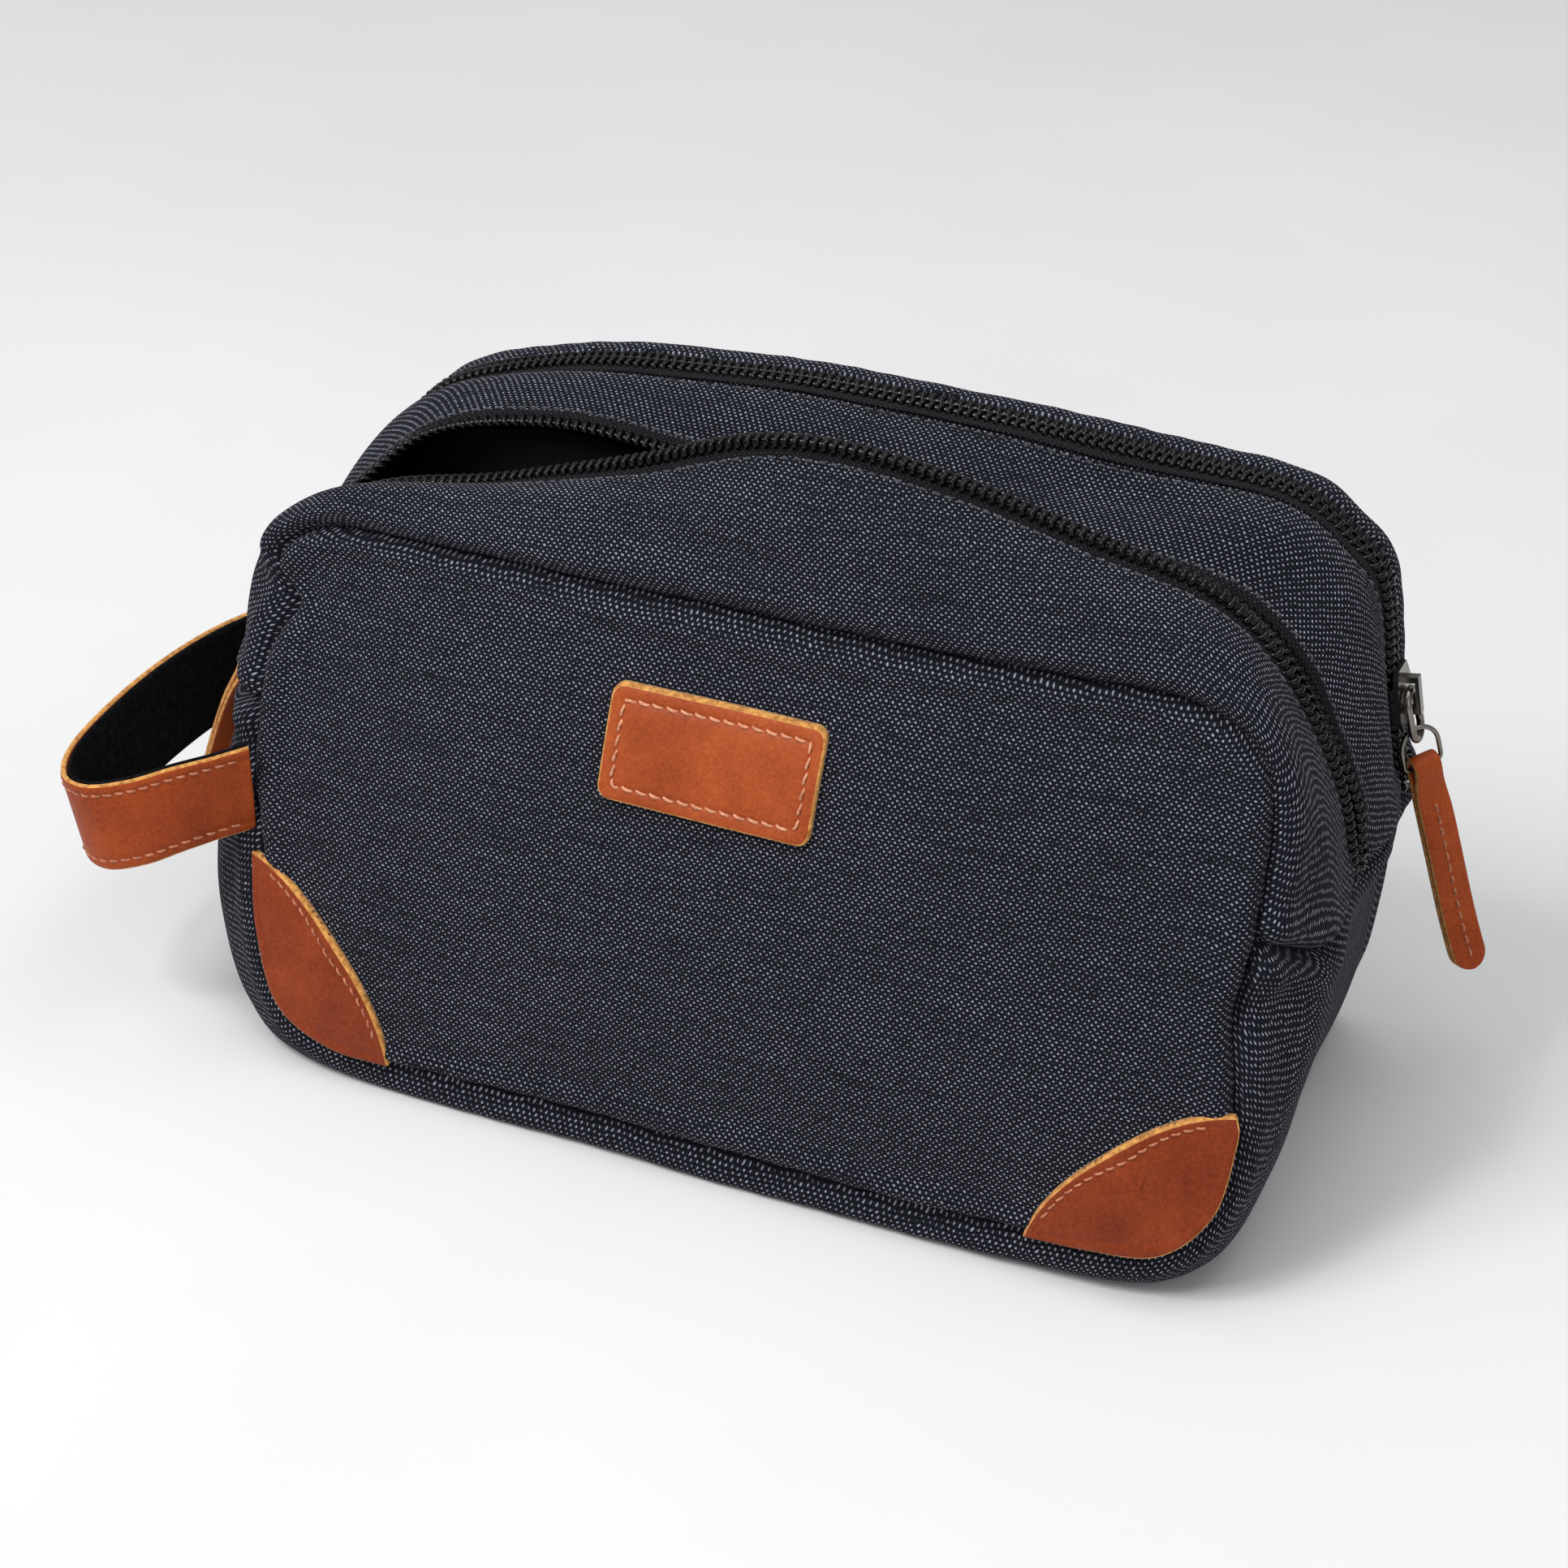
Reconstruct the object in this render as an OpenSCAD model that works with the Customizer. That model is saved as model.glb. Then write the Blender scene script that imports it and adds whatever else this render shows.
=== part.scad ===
// Shaving kit bag: a soft two-compartment wash bag with leather trim.
// Units are mm. +X is the right side seen from the front, -Y is the front and
// +Z is up. The origin is on the floor under the middle of the base.

/* [Bag] */
// Width of the base from left side to right side
bag_width = 272; // [200:1:320]
// Depth of the base from the front roll to the back seam
bag_depth = 124; // [90:1:160]
// Height of the back panel above the floor
bag_height = 157; // [120:1:190]
// How far the front panel leans back, in degrees
front_lean = 21.8; // [0:0.1:30]
// How far the front panel swells forward in its middle
front_swell = 6; // [0:0.5:12]
// How far the back panel swells out in its middle
back_swell = 4; // [0:0.5:10]

/* [Cloth] */
// Thickness of the canvas
canvas = 1.4; // [0.8:0.1:2.5]
// Thickness of the lining cloth
lining = 0.6; // [0.3:0.1:1.5]

/* [Zips] */
// Radius of one row of the nylon coil
coil_r = 1.45; // [0.8:0.05:2]
// Distance from the middle of a closed chain to the middle of a row
row_gap = 2.2; // [1.5:0.1:3]
// Tape that shows between the canvas edge and the coil row
tape_show = 4.5; // [2:0.5:8]
// Thickness of the zip tape
tape = 0.6; // [0.4:0.1:1]

/* [Sliders] */
// Length of a slider along the chain
slider_len = 15; // [10:0.5:20]
// Width of a slider across the chain
slider_w = 11; // [8:0.5:14]
// Thickness of each slider plate
plate = 1.4; // [1:0.1:2]
// Wire radius of the pull ring
ring_r = 1; // [0.6:0.1:1.5]
// Wire radius of the pull link
link_r = 0.6; // [0.4:0.1:1]

/* [Leather] */
// Thickness of the leather patches and the handle
leather = 1.8; // [1:0.1:3]
// Width of the handle strap
strap_w = 24; // [15:0.5:30]
// Thickness of the felt inside the handle
felt = 1.4; // [0.8:0.1:2.5]
// Width and height of the front patch
patch = [56, 28]; // [10:1:90]
// Corner radius of the front patch
patch_r = 3; // [1:0.5:8]
// Length of one stitch
stitch_len = 2.6; // [1.5:0.1:4]
// Distance from one stitch to the next
stitch_pitch = 3.7; // [2.5:0.1:6]

/* [Hidden] */
$fn = 40;

canvas_colour = [0.21, 0.22, 0.26];
lining_colour = [0.1, 0.1, 0.11];
tape_colour = [0.05, 0.05, 0.06];
coil_colour = [0.03, 0.03, 0.03];
leather_colour = [0.62, 0.27, 0.13];
thread_colour = [0.8, 0.5, 0.35];
metal_colour = [0.42, 0.4, 0.38];

half = bag_width / 2;   // half the width of the base
tan_lean = tan(front_lean);
seam_y = -bag_depth / 2 - 9.7;   // the leaning front plane where it would meet the floor
back_y = bag_depth / 2 + 1;      // the plane of the back seam

// the leaning plane that holds the front panel's seam
function lean_y(z) = seam_y + z * tan_lean;
// one point of a curve drawn at 272 by 124 by 157, stretched to the bag's own size
function fit(p) = [p[0] * bag_width / 272, p[1] * bag_depth / 124, p[2] * bag_height / 157];
function on_front(p) = [p[0] * bag_width / 272, lean_y(p[1] * bag_height / 157),
    p[1] * bag_height / 157];
function on_back(p) = [p[0] * bag_width / 272, back_y, p[1] * bag_height / 157];

function unit(v) = v / norm(v);
function mix(a, b, t) = a + (b - a) * t;
function reverse(v) = [for (i = [len(v) - 1 : -1 : 0]) v[i]];

// a smooth curve through the points p, with n steps between neighbours
function bend(a, b, c, d, t) = 0.5 * (2 * b + (c - a) * t + (2 * a - 5 * b + 4 * c - d) * t * t
    + (3 * b - a - 3 * c + d) * t * t * t);
function smooth(p, n) = let (e = concat([2 * p[0] - p[1]], p,
    [2 * p[len(p) - 1] - p[len(p) - 2]])) concat(
    [for (i = [0 : len(p) - 2]) for (k = [0 : n - 1])
        bend(e[i], e[i + 1], e[i + 2], e[i + 3], k / n)], [p[len(p) - 1]]);

// outward direction of the bag's rounded-box shape at a point near its skin
function power(v) = sign(v) * pow(abs(v), 5);
function outward(p) = let (
    front = lean_y(p[2]), mid = (front + back_y) / 2, deep = (back_y - front) / 2)
    unit([power(p[0] / half), power((p[1] - mid) / deep),
        power((p[2] - bag_height / 2) / (bag_height / 2))]);

// Stations of the upper part run from the left cross seam over the top to the
// right cross seam. Each list has one point per station.
top_seam = [for (p = [[-136, 84], [-135, 98], [-131, 110], [-136, 119.5], [-124, 128],
    [-92, 129], [-42, 129], [3, 129.5], [45, 130], [80, 131], [98, 131.5], [114, 128],
    [124.5, 119], [127.4, 102], [127.3, 85]]) on_front(p)];
top_roll = [for (p = [[-146, -25, 85], [-145, -22, 104], [-143, -20, 115], [-137, -17, 128],
    [-118, -14, 138], [-82, -11, 142], [-42, -12, 146], [-2, -13, 150], [38, -12, 150],
    [78, -12, 147], [102, -12, 143], [119, -13, 133], [130, -15, 117], [136.5, -18, 97],
    [139, -19, 75]]) fit(p)];
mouth_front = [for (p = [[-141, -10.2, 85], [-141, -9.6, 104], [-139.5, -8, 117],
    [-130, -4, 127], [-112, -1, 134], [-80, 0, 141.5], [-44, 0, 154.5], [-5, 0, 167],
    [35, 0, 165.5], [75, 0, 157], [99, 0, 151], [114, 0, 140], [126, 1, 121],
    [133.5, 3, 101], [137.5, 4, 78.5]]) fit(p)];
mouth_rear = [for (p = [[-141, -5.8, 85], [-141, -4.8, 104], [-139.5, 2, 114],
    [-133, 13, 122], [-116, 25, 136], [-88, 31, 141], [-45, 29, 142], [-5, 26, 141],
    [35, 25, 140], [75, 25, 139], [99, 25, 134], [115, 21, 124], [127, 15, 109],
    [134.5, 13, 93], [137.5, 8.4, 78.5]]) fit(p)];
middle_roll = [for (p = [[-147, 22, 87], [-146, 24, 104], [-142, 27, 119], [-132, 33, 133],
    [-114, 38, 144], [-82, 40, 150], [-42, 39, 153], [0, 38, 152], [40, 38, 152],
    [79, 38, 151], [103, 37, 148], [120, 36, 138], [131, 34, 119], [137.5, 30, 98],
    [140, 27, 78]]) fit(p)];
rear_track = [for (p = [[-144, 50, 89], [-142, 50, 104], [-138, 50, 120], [-129, 50, 134],
    [-112, 50, 143.5], [-80, 50, 152], [-42, 50, 157], [0, 50, 158], [40, 50, 157.5],
    [80, 50, 156], [104, 50, 153], [118.5, 50, 144], [126.4, 50, 134], [132, 50, 103],
    [136.5, 50, 78]]) fit(p)];
back_top = [for (p = [[-141, 90], [-141, 106], [-137, 121], [-128, 136], [-111, 145],
    [-80, 152.5], [-40, 157.5], [0, 157.5], [42, 157], [82, 156], [106, 153], [118, 145],
    [126, 134], [131, 103], [132, 76]]) on_back(p)];

// Stations of the lower part run from the left cross seam under the bag to the
// right cross seam.
low_seam = [for (p = [[-136, 84], [-135, 68], [-129.5, 51], [-125.5, 33], [-117, 16],
    [-101, 9], [-60, 8.5], [0, 8.5], [55, 8.5], [100, 11.5], [118, 14.5], [129, 26],
    [131, 43], [126.6, 65], [127.3, 85]]) on_front(p)];
low_roll = [for (p = [[-145, -24, 83], [-148, -31, 66], [-148.5, -39, 46], [-145.5, -45, 27],
    [-135, -53, 8], [-113, -60, 0], [-60, -61, 0], [-3, -61, 0], [55, -61, 0],
    [106, -60, 0], [127, -52, 6], [136, -44, 24], [139, -36, 42], [140.5, -29, 58],
    [139.5, -21, 73]]) fit(p)];
low_side = [for (p = [[-148, 15, 84], [-149, 12, 66], [-149, 10, 46], [-146, 8, 24],
    [-135, 5, 6], [-113, 5, 0], [-60, 5, 0], [-3, 5, 0], [55, 5, 0], [106, 5, 0],
    [123, 5, 5], [131, 6, 22], [133, 8, 42], [134.5, 9, 56], [138, 10, 74]]) fit(p)];
low_rear = [for (p = [[-146, 53, 86], [-147, 54, 66], [-147, 54, 46], [-144, 54, 24],
    [-133, 54, 6], [-112, 54, 0], [-60, 54, 0], [-3, 54, 0], [55, 54, 0], [106, 54, 0],
    [122, 54, 4], [129.5, 54, 22], [132, 54, 42], [132.5, 54, 58], [135.5, 53, 75]]) fit(p)];
back_low = [for (p = [[-141, 90], [-142, 68], [-141, 48], [-138, 30], [-130, 15], [-113, 8],
    [-60, 8], [0, 8], [55, 8], [104, 8], [117, 13], [125, 27], [128, 44], [129.5, 60],
    [132, 76]]) on_back(p)];

// the line d mm beside a coil row, toward the roll, or along Y at the foot of the left run
function beside(row, roll, side, d) = [for (i = [0 : len(row) - 1]) let (
    way = mix([0, side, 0], unit(roll[i] - row[i]), max(0, min(1, (i - 1) / 2))),
    t = unit(row[min(i + 1, len(row) - 1)] - row[max(i - 1, 0)]))
        row[i] + d * unit(way - (way * t) * t)];
front_edge = beside(mouth_front, top_roll, -1, tape_show);
front_edge_tape = beside(mouth_front, top_roll, -1, coil_r + 0.3);
middle_edge = beside(mouth_rear, middle_roll, 1, tape_show);
middle_edge_tape = beside(mouth_rear, middle_roll, 1, coil_r + 0.3);
function track(y) = [for (p = rear_track) p + [0, y, 0]];
edge_gap = row_gap + tape_show;

steps = 2;   // smoothing steps between stations
// rows of points, one row per curve, smoothed along and across
function skin(curves, across) = let (rows = [for (c = curves) smooth(c, steps)],
    cols = [for (i = [0 : len(rows[0]) - 1]) smooth([for (r = rows) r[i]], across)])
    [for (j = [0 : len(cols[0]) - 1]) [for (c = cols) c[j]]];

// a cloth piece between two depths under the rows of points g
module cloth(g, from, to) {
    rows = len(g);
    cols = len(g[0]);
    out = [for (r = g) for (p = r) p - outward(p) * from];
    inn = [for (r = g) for (p = r) p - outward(p) * to];
    n = rows * cols;
    edge = concat([for (i = [0 : cols - 1]) i],
        [for (j = [1 : rows - 1]) j * cols + cols - 1],
        [for (i = [cols - 2 : -1 : 0]) (rows - 1) * cols + i],
        [for (j = [rows - 2 : -1 : 1]) j * cols]);
    m = len(edge);
    polyhedron(concat(out, inn), concat(
        [for (j = [0 : rows - 2]) for (i = [0 : cols - 2]) for (f = [0, 1])
            let (a = j * cols + i) f == 0 ? [a, a + cols, a + 1] : [a + 1, a + cols, a + cols + 1]],
        [for (j = [0 : rows - 2]) for (i = [0 : cols - 2]) for (f = [0, 1])
            let (a = n + j * cols + i) f == 0 ? [a, a + 1, a + cols] : [a + 1, a + cols + 1, a + cols]],
        [for (k = [0 : m - 1]) for (f = [0, 1]) let (a = edge[k], b = edge[(k + 1) % m])
            f == 0 ? [a, b, b + n] : [a, b + n, a + n]]));
}

// the front panel's outer face at x, z
function swell(x, z) = front_swell * max(0, 1 - pow(abs(x) / (half - 4), 3))
    * max(0, 1 - pow(abs(z - 68) / 60, 3));
function panel_point(x, z) = [x, lean_y(z) - swell(x, z), z];
function back_point(x, z) = [x, back_y + back_swell * max(0, 1 - pow(abs(x) / half, 3))
    * max(0, 1 - pow(abs(z - 80) / 74, 3)), z];

// rings of points from a panel's outline in to its middle
function loop(top, low) = let (t = smooth(top, steps), l = reverse(smooth(low, steps)))
    concat(t, [for (i = [1 : len(l) - 2]) l[i]]);
function rings(outline, mid, front) = [for (s = [1, 0.8, 0.55, 0.28]) [for (p = outline)
    s == 1 ? p : let (x = mid[0] + (p[0] - mid[0]) * s, z = mid[1] + (p[2] - mid[1]) * s)
        front ? panel_point(x, z) : back_point(x, z)]];

// a panel between two depths under its rings and its middle point
module panel(r, mid, from, to, front) {
    m = len(r[0]);
    k = len(r);
    flat = concat([for (q = r) for (p = q) p], [mid]);
    n = len(flat);
    tris = concat([for (j = [0 : k - 2]) for (i = [0 : m - 1]) for (f = [0, 1])
        let (a = j * m + i, b = j * m + (i + 1) % m)
            f == 0 ? [a, b, a + m] : [b, b + m, a + m]],
        [for (i = [0 : m - 1]) [(k - 1) * m + i, (k - 1) * m + (i + 1) % m, n - 1]]);
    skin_tris = front ? tris : [for (t = tris) [t[0], t[2], t[1]]];
    rim = [for (i = [0 : m - 1]) for (f = [0, 1]) let (a = i, b = (i + 1) % m)
        f == 0 ? [a, n + a, b] : [b, n + a, n + b]];
    polyhedron(concat([for (p = flat) p - outward(p) * from], [for (p = flat) p - outward(p) * to]),
        concat(skin_tris, [for (t = skin_tris) [n + t[0], n + t[2], n + t[1]]],
            front ? rim : [for (t = rim) [t[0], t[2], t[1]]]));
}

front_rings = rings(loop(top_seam, low_seam), [0, 68], true);
back_rings = rings(loop(back_top, back_low), [0, 80], false);
front_rows = skin([top_seam, top_roll, front_edge], 3);
middle_rows = skin([middle_edge, middle_roll, track(-edge_gap)], 3);
rear_rows = skin([track(edge_gap), back_top], 1);
low_rows = [for (r = skin([back_low, low_rear, low_side, low_roll, low_seam], 2))
    [for (p = r) [p[0], p[1], max(p[2], 0)]]];   // nothing reaches below the flat base

module front_panel() color(canvas_colour) panel(front_rings, panel_point(0, 68), 0, canvas, true);
module back_panel() color(canvas_colour) panel(back_rings, back_point(0, 80), 0, canvas, false);
module front_gusset() color(canvas_colour) cloth(front_rows, 0, canvas);
module middle_gusset() color(canvas_colour) cloth(middle_rows, 0, canvas);
module rear_gusset() color(canvas_colour) cloth(rear_rows, 0, canvas);
module lower_gusset() color(canvas_colour) cloth(low_rows, 0, canvas);

module front_panel_lining() color(lining_colour)
    panel(front_rings, panel_point(0, 68), canvas, canvas + lining, true);
module back_panel_lining() color(lining_colour)
    panel(back_rings, back_point(0, 80), canvas, canvas + lining, false);
module front_gusset_lining() color(lining_colour) cloth(front_rows, canvas, canvas + lining);
module middle_gusset_lining() color(lining_colour) cloth(middle_rows, canvas, canvas + lining);
module rear_gusset_lining() color(lining_colour) cloth(rear_rows, canvas, canvas + lining);
module lower_gusset_lining() color(lining_colour) cloth(low_rows, canvas, canvas + lining);

// the wall between the two compartments, hung from the middle gusset to the floor
divider_y = 36;
divider_in = 6;   // its distance inside the bag's skin
module divider() color(lining_colour)
    translate([0, divider_y, 0]) rotate([90, 0, 0]) linear_extrude(lining)
        polygon([for (p = loop(middle_roll, low_side)) let (mid = [0, 75 * bag_height / 157])
            mid + ([p[0], p[2]] - mid) * (1 - divider_in / 75)]);

// zip tapes and coil rows
module tape_strip(edge, row) color(tape_colour) cloth(skin([edge, row], 1), -tape / 2, tape / 2);
module front_zip_tape_front() tape_strip(front_edge, front_edge_tape);
module front_zip_tape_rear() tape_strip(middle_edge_tape, middle_edge);
module rear_zip_tape_front() tape_strip(track(-edge_gap), track(-row_gap - coil_r - 0.05));
module rear_zip_tape_rear() tape_strip(track(row_gap + coil_r + 0.05), track(edge_gap));

// a tube with eight sides along the curve c
module tube(c, r) color(coil_colour) {
    k = len(c);
    sides = 8;
    pts = [for (i = [0 : k - 1]) let (dir = unit(c[min(i + 1, k - 1)] - c[max(i - 1, 0)]),
        u = unit(cross(dir, outward(c[i]))), v = cross(dir, u))
        for (s = [0 : sides - 1]) c[i] + r * (cos(s * 45 + 22.5) * u + sin(s * 45 + 22.5) * v)];
    polyhedron(pts, concat([[for (s = [0 : sides - 1]) s]],
        [[for (s = [sides - 1 : -1 : 0]) (k - 1) * sides + s]],
        [for (i = [0 : k - 2]) for (s = [0 : sides - 1]) for (f = [0, 1])
            let (a = i * sides + s, b = i * sides + (s + 1) % sides)
                f == 0 ? [a, a + sides, b] : [b, a + sides, b + sides]]));
}
module front_zip_coil_front() tube(smooth(mouth_front, steps), coil_r);
module front_zip_coil_rear() tube(smooth(mouth_rear, steps), coil_r);
module rear_zip_coil_front() tube(smooth(track(-row_gap), steps), coil_r);
module rear_zip_coil_rear() tube(smooth(track(row_gap), steps), coil_r);

// A slider in its own frame: X across the chain, Y out of the bag, Z up the chain.
coil_room = coil_r + 0.5;
bail_w = 2.4;
bail_out = coil_room + plate + 2 * ring_r + 0.9;   // the underside of the bail's bar
hinge_out = coil_room + plate + ring_r + 0.2;      // the ring's wire, between plate and bar
module slider_body() color(metal_colour) {
    for (side = [-1, 1]) {
        translate([0, side * (coil_room + plate / 2), 0]) rounded_plate();
        for (edge = [-1, 1])
            translate([edge * (slider_w / 2 - 0.4), side * (coil_room + 0.9) / 2, -1.5])
                cube([0.8, coil_room - 0.9 + 0.02, slider_len - 5], center = true);
    }
    translate([0, 0, slider_len / 2 - 2.2])
        cube([0.6, 2 * coil_room + 0.2, 3], center = true);
    difference() {
        translate([-bail_w / 2, coil_room + plate - 0.1, -5])
            cube([bail_w, 2 * ring_r + 2, 10]);
        translate([-bail_w, coil_room + plate, -3.4])
            cube([2 * bail_w, bail_out - coil_room - plate, 6.8]);
    }
}
module rounded_plate() rotate([90, 0, 0]) translate([0, 0, -plate / 2]) linear_extrude(plate)
    polygon([for (p = [[-0.36, -0.5], [0.36, -0.5], [0.5, -0.36], [0.5, 0.2], [0.3, 0.5],
        [-0.3, 0.5], [-0.5, 0.2], [-0.5, -0.36]]) [p[0] * slider_w, p[1] * slider_len]]);

// The pull hangs along -Z from the ring's hinge, in the slider's X and Y directions.
ring_half = 3.4;   // half the ring's width at its wire's middle
ring_drop = 13;    // from the hinge to the wire at the ring's bottom
link_top = 10.4;   // from the hinge to the link's upper wire
link_half = 5.2;
link_drop = 20.5;  // from the hinge to the link's lower bar
link_turn = -42;   // how far the link is turned from the ring
tab_w = 9;
tab_len = 55;

module arc(r, wire, turn) rotate([90, 0, 0]) rotate_extrude(angle = turn) translate([r, 0])
    circle(wire, $fn = 24);
module rod(wire, length) cylinder(r = wire, h = length, $fn = 24);

module pull_ring() color(metal_colour) {
    translate([0, 0, -ring_half]) arc(ring_half, ring_r, 180);
    translate([0, 0, ring_half - ring_drop]) mirror([0, 0, 1]) arc(ring_half, ring_r, 180);
    for (side = [-1, 1]) translate([side * ring_half, 0, ring_half - ring_drop])
        rod(ring_r, ring_drop - 2 * ring_half);
}

link_corner = 1.4;
module pull_link() color(metal_colour) rotate([0, 0, link_turn]) {
    translate([0, 0, -link_top - link_half]) arc(link_half, link_r, 180);
    for (side = [-1, 1]) {
        translate([side * link_half, 0, link_corner - link_drop])
            rod(link_r, link_drop - link_top - link_half - link_corner);
        translate([side * (link_half - link_corner), 0, link_corner - link_drop])
            mirror([side < 0 ? 1 : 0, 0, 0]) mirror([0, 0, 1]) arc(link_corner, link_r, 90);
    }
    translate([link_corner - link_half, 0, -link_drop]) rotate([0, 90, 0])
        rod(link_r, 2 * (link_half - link_corner));
}

// the tab's middle line in its own Y and Z, d below the link's bar
function tab_y(d, curl) = curl * d * d;
tab_loop = link_r + 0.4;   // radius of the hole that holds the link's bar
tab_leaf = 1.8;            // thickness of one leaf of the folded tab
module tab_side(t, curl) {
    difference() {
        polygon(concat([for (a = [0 : 15 : 180]) (tab_loop + t) * [cos(a), sin(a)]],
            [for (d = [6 : 7 : tab_len]) [tab_y(d, curl) - t, -d]],
            [for (d = [tab_len : -7 : 6]) [tab_y(d, curl) + t, -d]]));
        circle(tab_loop);
        translate([-0.15, -tab_loop - 4]) square([0.3, 4 + tab_loop / 2]);
    }
}
module pull_tab(curl) color(leather_colour) rotate([0, 0, link_turn]) translate([0, 0, -link_drop])
    intersection() {
        rotate([90, 0, 90]) translate([0, 0, -tab_w / 2]) linear_extrude(tab_w) tab_side(tab_leaf, curl);
        rotate([90, 0, 0]) translate([0, 0, -40]) linear_extrude(80)
            union() {
                translate([-tab_w / 2, tab_w / 2 - tab_len]) square([tab_w, tab_len]);
                translate([0, tab_w / 2 - tab_len]) circle(tab_w / 2);
            }
    }
module tab_stitches(curl) color(thread_colour) rotate([0, 0, link_turn])
    translate([0, 0, -link_drop]) for (d = [8 : stitch_pitch + 0.6 : tab_len - 8])
        translate([0, tab_y(d, curl) + tab_leaf + 0.4, -d]) rotate([atan(2 * curl * d), 0, 0])
            cube([0.6, 0.5, stitch_len], center = true);

// the rear slider sits on the straight run down the right side
rear_low = fit(rear_run()[0]);
rear_high = fit(rear_run()[1]);
function rear_run() = [[136.5, 50, 78], [132, 50, 103]];
rear_tilt = atan2(rear_low[0] - rear_high[0], rear_high[2] - rear_low[2]);
rear_up = unit(rear_high - rear_low);
rear_out = [rear_up[2], 0, -rear_up[0]];
rear_slider_at = rear_high + 2 * rear_up;
rear_hinge = rear_slider_at + rear_up + rear_out * hinge_out;
rear_hang = 15;   // the rear pull's lean away from the side, in degrees
rear_curl = 0.0022;   // how strongly its tab curves outward
module on_rear_slider() translate(rear_slider_at) rotate([0, -rear_tilt, 0]) rotate([0, 0, -90])
    children();
module on_rear_pull() translate(rear_hinge) rotate([0, -rear_hang, 0]) rotate([0, 0, -90])
    children();
module rear_slider() on_rear_slider() slider_body();
module rear_pull_ring() on_rear_pull() pull_ring();
module rear_pull_link() on_rear_pull() pull_link();
module rear_pull_tab() on_rear_pull() pull_tab(rear_curl);
module rear_tab_stitching() on_rear_pull() tab_stitches(rear_curl);

// the front slider is parked at the foot of the left side run
front_slider_at = fit([-141, -8, 93.5]);
front_hinge = front_slider_at + [-hinge_out, 0, 1];
front_hang = 25;   // the front pull's lean away from the side, in degrees
front_curl = -0.0024;
module on_front_slider() translate(front_slider_at) rotate([0, 0, 90]) children();
module on_front_pull() translate(front_hinge) rotate([0, front_hang, 0]) rotate([0, 0, 90])
    children();
module front_slider() on_front_slider() slider_body();
module front_pull_ring() on_front_pull() pull_ring();
module front_pull_link() on_front_pull() pull_link();
module front_pull_tab() on_front_pull() pull_tab(front_curl);
module front_tab_stitching() on_front_pull() tab_stitches(front_curl);

// The handle's strap, seen from above, from the front left seam to the rear left seam,
// with the height of the strap's middle at each point.
strap_line = smooth([for (p = [[-138.5, -55, 65], [-145, -61, 63.5], [-154.5, -66.5, 60],
    [-166, -68.5, 57], [-176, -63, 56], [-181.5, -48, 57], [-182.5, -20, 58.5], [-181, 8, 57.5],
    [-176, 34, 55], [-165, 55, 53.5], [-150, 68, 54]]) fit(p)], 3);
function strap_side(i) = let (k = len(strap_line) - 1,
    d = strap_line[min(i + 1, k)] - strap_line[max(i - 1, 0)]) unit([-d[1], d[0], 0]);
// from the strap's middle to its upper edge, which leans outward round the bends
function strap_up(i) = [-2.8 * sin(180 * i / (len(strap_line) - 1)), 0, strap_w / 2];
// one layer of the strap between two distances from its outer face
module strap_layer(from, to) {
    k = len(strap_line);
    pts = [for (i = [0 : k - 1]) for (q = [[from, 1], [to, 1], [to, -1], [from, -1]])
        strap_line[i] + strap_side(i) * q[0] + strap_up(i) * q[1]];
    polyhedron(pts, concat([[0, 1, 2, 3]], [[for (s = [3 : -1 : 0]) (k - 1) * 4 + s]],
        [for (i = [0 : k - 2]) for (s = [0 : 3]) for (f = [0, 1])
            let (a = i * 4 + s, b = i * 4 + (s + 1) % 4)
                f == 0 ? [a, a + 4, b] : [b, a + 4, b + 4]]));
}
module handle_leather() color(leather_colour) strap_layer(0, -leather);
module handle_lining() color(lining_colour) strap_layer(-leather - 0.2, -leather - felt);
// stitches lie on the strap's outer face, near both edges
module handle_stitching() color(thread_colour) for (i = [1 : len(strap_line) - 2])
    for (side = [-1, 1]) let (d = strap_line[i + 1] - strap_line[i - 1], out = strap_side(i))
        translate(strap_line[i] + out * 0.55 + side * strap_up(i) * (1 - 5 / strap_w))
            rotate([0, 0, atan2(d[1], d[0])]) cube([stitch_len, 0.6, 0.7], center = true);

// the front patch lies on the swollen panel
patch_mid = [-8.5 * bag_width / 272, 99 * bag_height / 157];
module on_panel(gap) translate([patch_mid[0], lean_y(patch_mid[1]) - front_swell, patch_mid[1]])
    rotate([-front_lean, 0, 0]) translate([0, -gap, 0]) children();
module front_patch() color(leather_colour) on_panel(0.3) rotate([90, 0, 0])
    linear_extrude(leather) union() {
        square(patch - [2 * patch_r, 0], center = true);
        square(patch - [0, 2 * patch_r], center = true);
        for (x = [-1, 1]) for (z = [-1, 1])
            translate([x * (patch[0] / 2 - patch_r), z * (patch[1] / 2 - patch_r)])
                circle(patch_r);
    }
stitch_in = 3.5;   // from a leather edge in to its stitches
module patch_stitching() color(thread_colour) on_panel(0.3 + leather + 0.35) {
    w = patch[0] - 2 * stitch_in;
    h = patch[1] - 2 * stitch_in;
    for (side = [-1, 1]) {
        for (x = [-w / 2 + 2 : stitch_pitch : w / 2 - 2])
            translate([x, 0, side * h / 2]) cube([stitch_len, 0.5, 0.6], center = true);
        for (z = [-h / 2 + 2 : stitch_pitch : h / 2 - 2])
            translate([side * w / 2, 0, z]) cube([0.6, 0.5, stitch_len], center = true);
    }
}

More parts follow.
